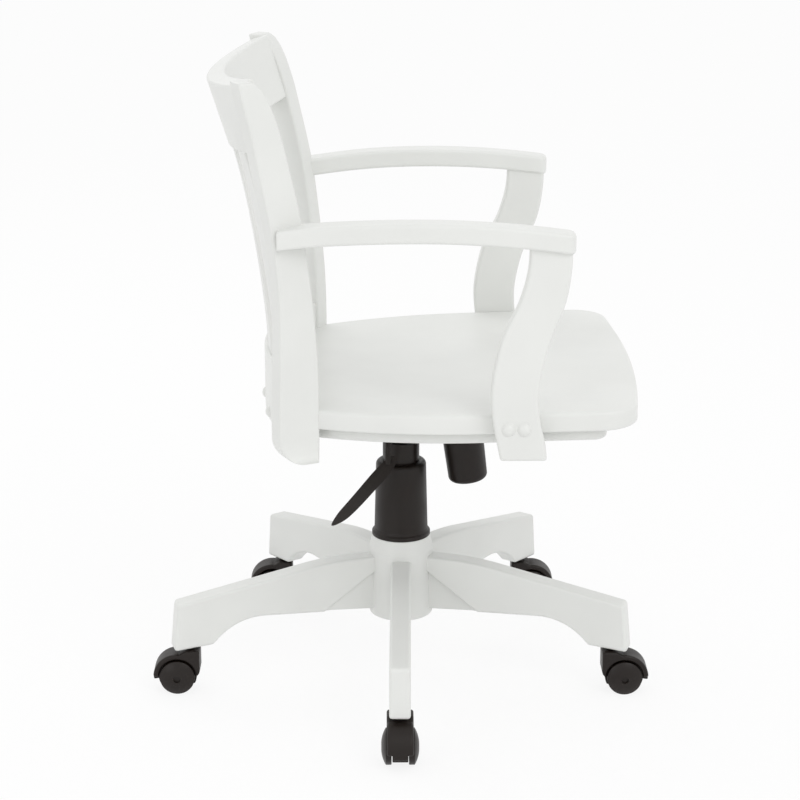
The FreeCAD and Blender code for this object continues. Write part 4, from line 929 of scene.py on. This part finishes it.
class CHAIR_OT_back(bpy.types.Operator):
    """Builds the crest rail, the lower rail and the five slats, all bent to the back's bow"""
    bl_idname = "chair.back"
    bl_label = "Rails and slats"

    def execute(self, context):
        s = context.scene.chair_sizes
        up = np.array((0, sin(CREST_LEAN), cos(CREST_LEAN)))
        rearward = np.array((0, cos(CREST_LEAN), -sin(CREST_LEAN)))
        top = np.array(CREST_TOP)
        right = np.array((1.0, 0, 0))

        def crest(angle, radius, down):
            return (top + (radius * np.cos(angle) - ARC)[:, None] * rearward - down * up
                    + (radius * np.sin(angle))[:, None] * right)

        def rail(angle, radius, z):
            return np.column_stack((radius * np.sin(angle), BOW_CENTRE + radius * np.cos(angle),
                                    np.full_like(angle, z)))

        angle = np.linspace(-asin(CREST_HALF / ARC), asin(CREST_HALF / ARC), 61)
        section = ((0, 0), (CREST_THICK, 0), (CREST_THICK, CREST_TALL), (0, CREST_TALL))
        corners = np.stack([crest(angle, ARC - drop, down) for drop, down in section], axis=1)
        wooden("crest", beam(corners, s.board_edge, RAIL_ENDS, s.corner_steps, 0), "seat", "crest_rail")

        angle = np.linspace(-asin(RAIL_HALF / ARC), asin(RAIL_HALF / ARC), 61)
        section = ((0, RAIL_TOP), (RAIL_THICK, RAIL_TOP), (RAIL_THICK, RAIL_LOW), (0, RAIL_LOW))
        corners = np.stack([rail(angle, ARC - drop, z) for drop, z in section], axis=1)
        wooden("lower_rail", beam(corners, s.board_edge, RAIL_ENDS, s.corner_steps, 0), "seat", "back_rail")

        z = np.linspace(SLAT_LOW, SLAT_HIGH, 40)
        rear = through(SLAT_ROWS[:, 0], SLAT_ROWS[:, 1], z) - BOW_CENTRE
        section = ((-SLAT_HALF, 0), (SLAT_HALF, 0), (SLAT_HALF, SLAT_THICK), (-SLAT_HALF, SLAT_THICK))
        slats = []
        for i in range(SLAT_COUNT):
            turn = -asin((i - SLAT_COUNT // 2) * SLAT_SPACING / ARC)
            corners = np.stack([np.column_stack((t * cos(turn) - (rear - drop) * sin(turn),
                                                 BOW_CENTRE + t * sin(turn) + (rear - drop) * cos(turn), z))
                                for t, drop in section], axis=1)
            slats.append(beam(corners, SLAT_EDGE, RAIL_ENDS, s.corner_steps))
        wooden("slats", joined(slats), "seat", "back_slats")
        return {"FINISHED"}


class CHAIR_OT_arms(bpy.types.Operator):
    """Builds the two arched arms and the curved boards that carry them"""
    bl_idname = "chair.arms"
    bl_label = "Arms and posts"

    def execute(self, context):
        s = context.scene.chair_sizes
        arm = beam(arm_corners(), s.arm_edge, ARM_ENDS, s.corner_steps + 2, 1)
        post = beam(post_corners(), s.board_edge + POST_SOFTER, POST_ENDS, s.corner_steps)
        for name, side in SIDES:
            wooden("armrest_" + name, flipped(arm, side), "seat", "arm_" + name)
            wooden("post_" + name, flipped(post, side), "seat", "arm_post_" + name)
        return {"FINISHED"}


class CHAIR_OT_seat(bpy.types.Operator):
    """Builds the hollowed seat board and the apron board under it"""
    bl_idname = "chair.seat"
    bl_label = "Seat"

    def execute(self, context):
        s = context.scene.chair_sizes
        outline = denser(seat_outline(0.0, 0.0, SEAT_CORNER, SEAT_SIDE_END), SEAT_STEP)
        low = SEAT_TOP - SEAT_THICK
        low_edge = s.seat_edge * LOWER_EDGE_SHARE
        ins, up = edge_steps(low_edge, s.corner_steps + 1)
        top_ins, top_up = edge_steps(s.seat_edge, s.corner_steps + 2)
        rings = [level_ring(inset(outline, low_edge + FLAT_LIP), low)]
        rings += [level_ring(inset(outline, d), low + h) for d, h in zip(ins, up)]
        for d, h in zip(top_ins[::-1], top_up[::-1]):
            flat = inset(outline, d)
            drop = dish(flat[:, 0], flat[:, 1], s.dish_depth) * (1 - h / s.seat_edge)
            rings.append(level_ring(flat, SEAT_TOP - h - drop))
        inner = inset(outline, s.seat_edge)
        centre = np.array(SEAT_MIDDLE)
        for scale in np.linspace(1, 0, 64)[1:-1]:
            flat = centre + (inner - centre) * scale
            rings.append(level_ring(flat, SEAT_TOP - dish(flat[:, 0], flat[:, 1], s.dish_depth)))
        wooden("seat_top", sloped_board(np.stack(rings)), "seat", "seat_board")

        outline = seat_outline(APRON_MARGIN, APRON_FRONT_MARGIN, APRON_CORNER, APRON_SIDE_END)
        outline = denser(outline, APRON_STEP)
        base = low - APRON_THICK
        ins, up = edge_steps(APRON_EDGE, s.corner_steps + 1)
        distances = np.concatenate(([APRON_EDGE + FLAT_LIP], ins, [0.0, 0.002]))
        heights = np.concatenate(([0.0], up, [APRON_THICK, APRON_THICK]))
        rings = [level_ring(inset(outline, d), base + h) for d, h in zip(distances, heights)]
        wooden("apron", sloped_board(np.stack(rings)), "seat", "apron_board")
        return {"FINISHED"}


class CHAIR_OT_base(bpy.types.Operator):
    """Builds the five legs and the hub with its webs"""
    bl_idname = "chair.base"
    bl_label = "Base"

    def execute(self, context):
        s = context.scene.chair_sizes
        hub = [turned(hub_profile(), 96)]
        under = leg_lines()[1]
        r = np.linspace(*WEB_RUN, 12)
        # The webs reach a millimetre into the legs
        web_top = np.interp(r, under[:, 0], under[:, 1]) + MM
        web_low = LEG_ROOT - np.interp(r, *zip(*WEB_ROWS))
        for i, angle in enumerate(LEG_ANGLES):
            points, _, faces = beam(leg_corners(angle), s.leg_edge, LEG_ENDS, s.corner_steps)
            # The grain of a leg runs out from the column
            leg = points, points @ z_turn(angle), faces
            wooden("leg_%d" % (i + 1), leg, "base", "base_leg_%d" % (i + 1))
            hub.append(beam(spoke(angle, r, web_top, r, web_low, WEB_HALF), 0.002, (0.0005, 0.0005), 3))
        wooden("hub", joined(hub), "base", "base_hub")
        return {"FINISHED"}


class CHAIR_OT_hoods(bpy.types.Operator):
    """Builds the five caster hoods: a curved shell, the web between the wheels and its tongue"""
    bl_idname = "chair.hoods"
    bl_label = "Caster hoods"

    def execute(self, context):
        points, grain, faces = joined([hood_shell(), hood_web(), hood_tongue()])
        for i in range(5):
            turn, origin = caster_frame(i)
            piece("hood_%d" % (i + 1), (points @ turn.T + origin, grain, faces), "caster_%d" % (i + 1),
                  "caster_hood_%d" % (i + 1), MATERIALS["moulding"])
        return {"FINISHED"}


class CHAIR_OT_spring(bpy.types.Operator):
    """Builds the coil spring of the tilt as a fixed coil; the real spring shortens as the seat tilts"""
    bl_idname = "chair.spring"
    bl_label = "Tilt spring"

    def execute(self, context):
        # The wire's middle is (coil * cos t, coil * sin t, low + rise * t), and its section is a circle in
        # the plane that stands across its run
        t = np.linspace(0, 2 * pi * SPRING_TURNS, 40 * SPRING_TURNS)
        rise = (SPRING_HIGH - SPRING_LOW) / t[-1]
        radial = np.column_stack((np.cos(t), np.sin(t), np.zeros_like(t)))
        middle = radial * SPRING_COIL + np.column_stack((0 * t, 0 * t, SPRING_LOW + rise * t))
        way = np.column_stack((-SPRING_COIL * np.sin(t), SPRING_COIL * np.cos(t), np.full_like(t, rise)))
        way /= np.linalg.norm(way, axis=1)[:, None]
        across = np.cross(way, radial)
        angle = np.linspace(0, 2 * pi, 12, endpoint=False)
        rings = (middle[:, None] + SPRING_WIRE * (np.cos(angle)[None, :, None] * radial[:, None]
                                                  + np.sin(angle)[None, :, None] * across[:, None]))
        points = rings.reshape(-1, 3)
        pivot_y, pivot_z = SPRING_PIVOT
        c, s = cos(SPRING_LEAN), sin(SPRING_LEAN)
        y, z = points[:, 1], points[:, 2] - pivot_z
        placed = np.column_stack((points[:, 0], pivot_y + y * c + z * s, pivot_z - y * s + z * c))
        obj = piece("coil_spring", turned_right_way(placed, points, skin(rings)), "seat", "tension_spring",
                    MATERIALS["zinc"])
        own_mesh(obj)
        return {"FINISHED"}


class CHAIR_OT_stage(bpy.types.Operator):
    """Sets the floor, the lights and the camera"""
    bl_idname = "chair.stage"
    bl_label = "Stage"

    def execute(self, context):
        s = context.scene.chair_stage
        scene = context.scene
        mesh = bpy.data.meshes.new("floor")
        corners = [(x * FLOOR_HALF, y * FLOOR_HALF, 0) for x, y in ((-1, -1), (1, -1), (1, 1), (-1, 1))]
        mesh.from_pydata(corners, [], [(0, 1, 2, 3)])
        floor = bpy.data.objects.new("floor", mesh)
        scene.collection.objects.link(floor)
        mesh.materials.append(seamless_paper(s.floor))

        world = bpy.data.worlds.new("studio")
        world.use_nodes = True
        scene.world = world
        tree = world.node_tree
        tree.nodes.clear()
        output = tree.nodes.new("ShaderNodeOutputWorld")
        fill = node(tree, "ShaderNodeBackground", {"Color": (1, 1, 1, 1), "Strength": s.fill})
        back = node(tree, "ShaderNodeBackground", {"Color": (1, 1, 1, 1), "Strength": 1.0})
        both = node(tree, "ShaderNodeMixShader", {0: seen(tree), 1: fill.outputs[0], 2: back.outputs[0]})
        tree.links.new(both.outputs[0], output.inputs[0])

        for name, place, size, share in LAMPS:
            lamp = bpy.data.lights.new(name, "AREA")
            lamp.shape = "SQUARE"
            lamp.size = size
            lamp.energy = s.key * share
            obj = bpy.data.objects.new(name, lamp)
            scene.collection.objects.link(obj)
            obj.location = place
            obj.rotation_euler = (Vector(LAMPS_AIM) - Vector(place)).to_track_quat("-Z", "Y").to_euler()

        # The camera looks forward with its yaw measured from +X and its pitch downwards
        forward = Vector((cos(CAMERA_YAW) * cos(CAMERA_PITCH), sin(CAMERA_YAW) * cos(CAMERA_PITCH),
                          -sin(CAMERA_PITCH)))
        right = Vector((sin(CAMERA_YAW), -cos(CAMERA_YAW), 0))
        up = right.cross(forward)
        camera = bpy.data.cameras.new("camera")
        camera.lens = s.lens
        camera.sensor_width = CAMERA_SENSOR
        camera.clip_end = 100
        obj = bpy.data.objects.new("camera", camera)
        scene.collection.objects.link(obj)
        turn = Matrix((right, up, -forward)).transposed().to_4x4()
        obj.matrix_world = Matrix.Translation(CAMERA_PLACE) @ turn
        scene.camera = obj
        scene.view_settings.view_transform = "Standard"
        return {"FINISHED"}


class CHAIR_PT_panel(bpy.types.Panel):
    """Lists the chair's pieces"""
    bl_label = "Swivel chair"
    bl_idname = "CHAIR_PT_panel"
    bl_space_type = "VIEW_3D"
    bl_region_type = "UI"
    bl_category = "Chair"

    def draw(self, context):
        for step in STEPS:
            self.layout.operator(step.bl_idname)
        for group in (context.scene.chair_sizes, context.scene.chair_colours, context.scene.chair_stage):
            for key in group.__annotations__:
                self.layout.prop(group, key)


STEPS = (CHAIR_OT_finishes, CHAIR_OT_stiles, CHAIR_OT_back, CHAIR_OT_arms, CHAIR_OT_seat, CHAIR_OT_base,
         CHAIR_OT_hoods, CHAIR_OT_spring, CHAIR_OT_stage)
CLASSES = (ChairSizes, ChairColours, StageSettings) + STEPS + (CHAIR_PT_panel,)


def register():
    """Adds the classes and the scene's settings."""
    for c in CLASSES:
        bpy.utils.register_class(c)
    bpy.types.Scene.chair_sizes = PointerProperty(type=ChairSizes)
    bpy.types.Scene.chair_colours = PointerProperty(type=ChairColours)
    bpy.types.Scene.chair_stage = PointerProperty(type=StageSettings)


def unregister():
    """Takes them off again."""
    del bpy.types.Scene.chair_stage
    del bpy.types.Scene.chair_colours
    del bpy.types.Scene.chair_sizes
    for c in reversed(CLASSES):
        bpy.utils.unregister_class(c)


def main():
    """Builds the chair and its stage."""
    register()
    for step in STEPS:
        group, name = step.bl_idname.split(".")
        getattr(getattr(bpy.ops, group), name)()


if __name__ == "__main__":
    main()
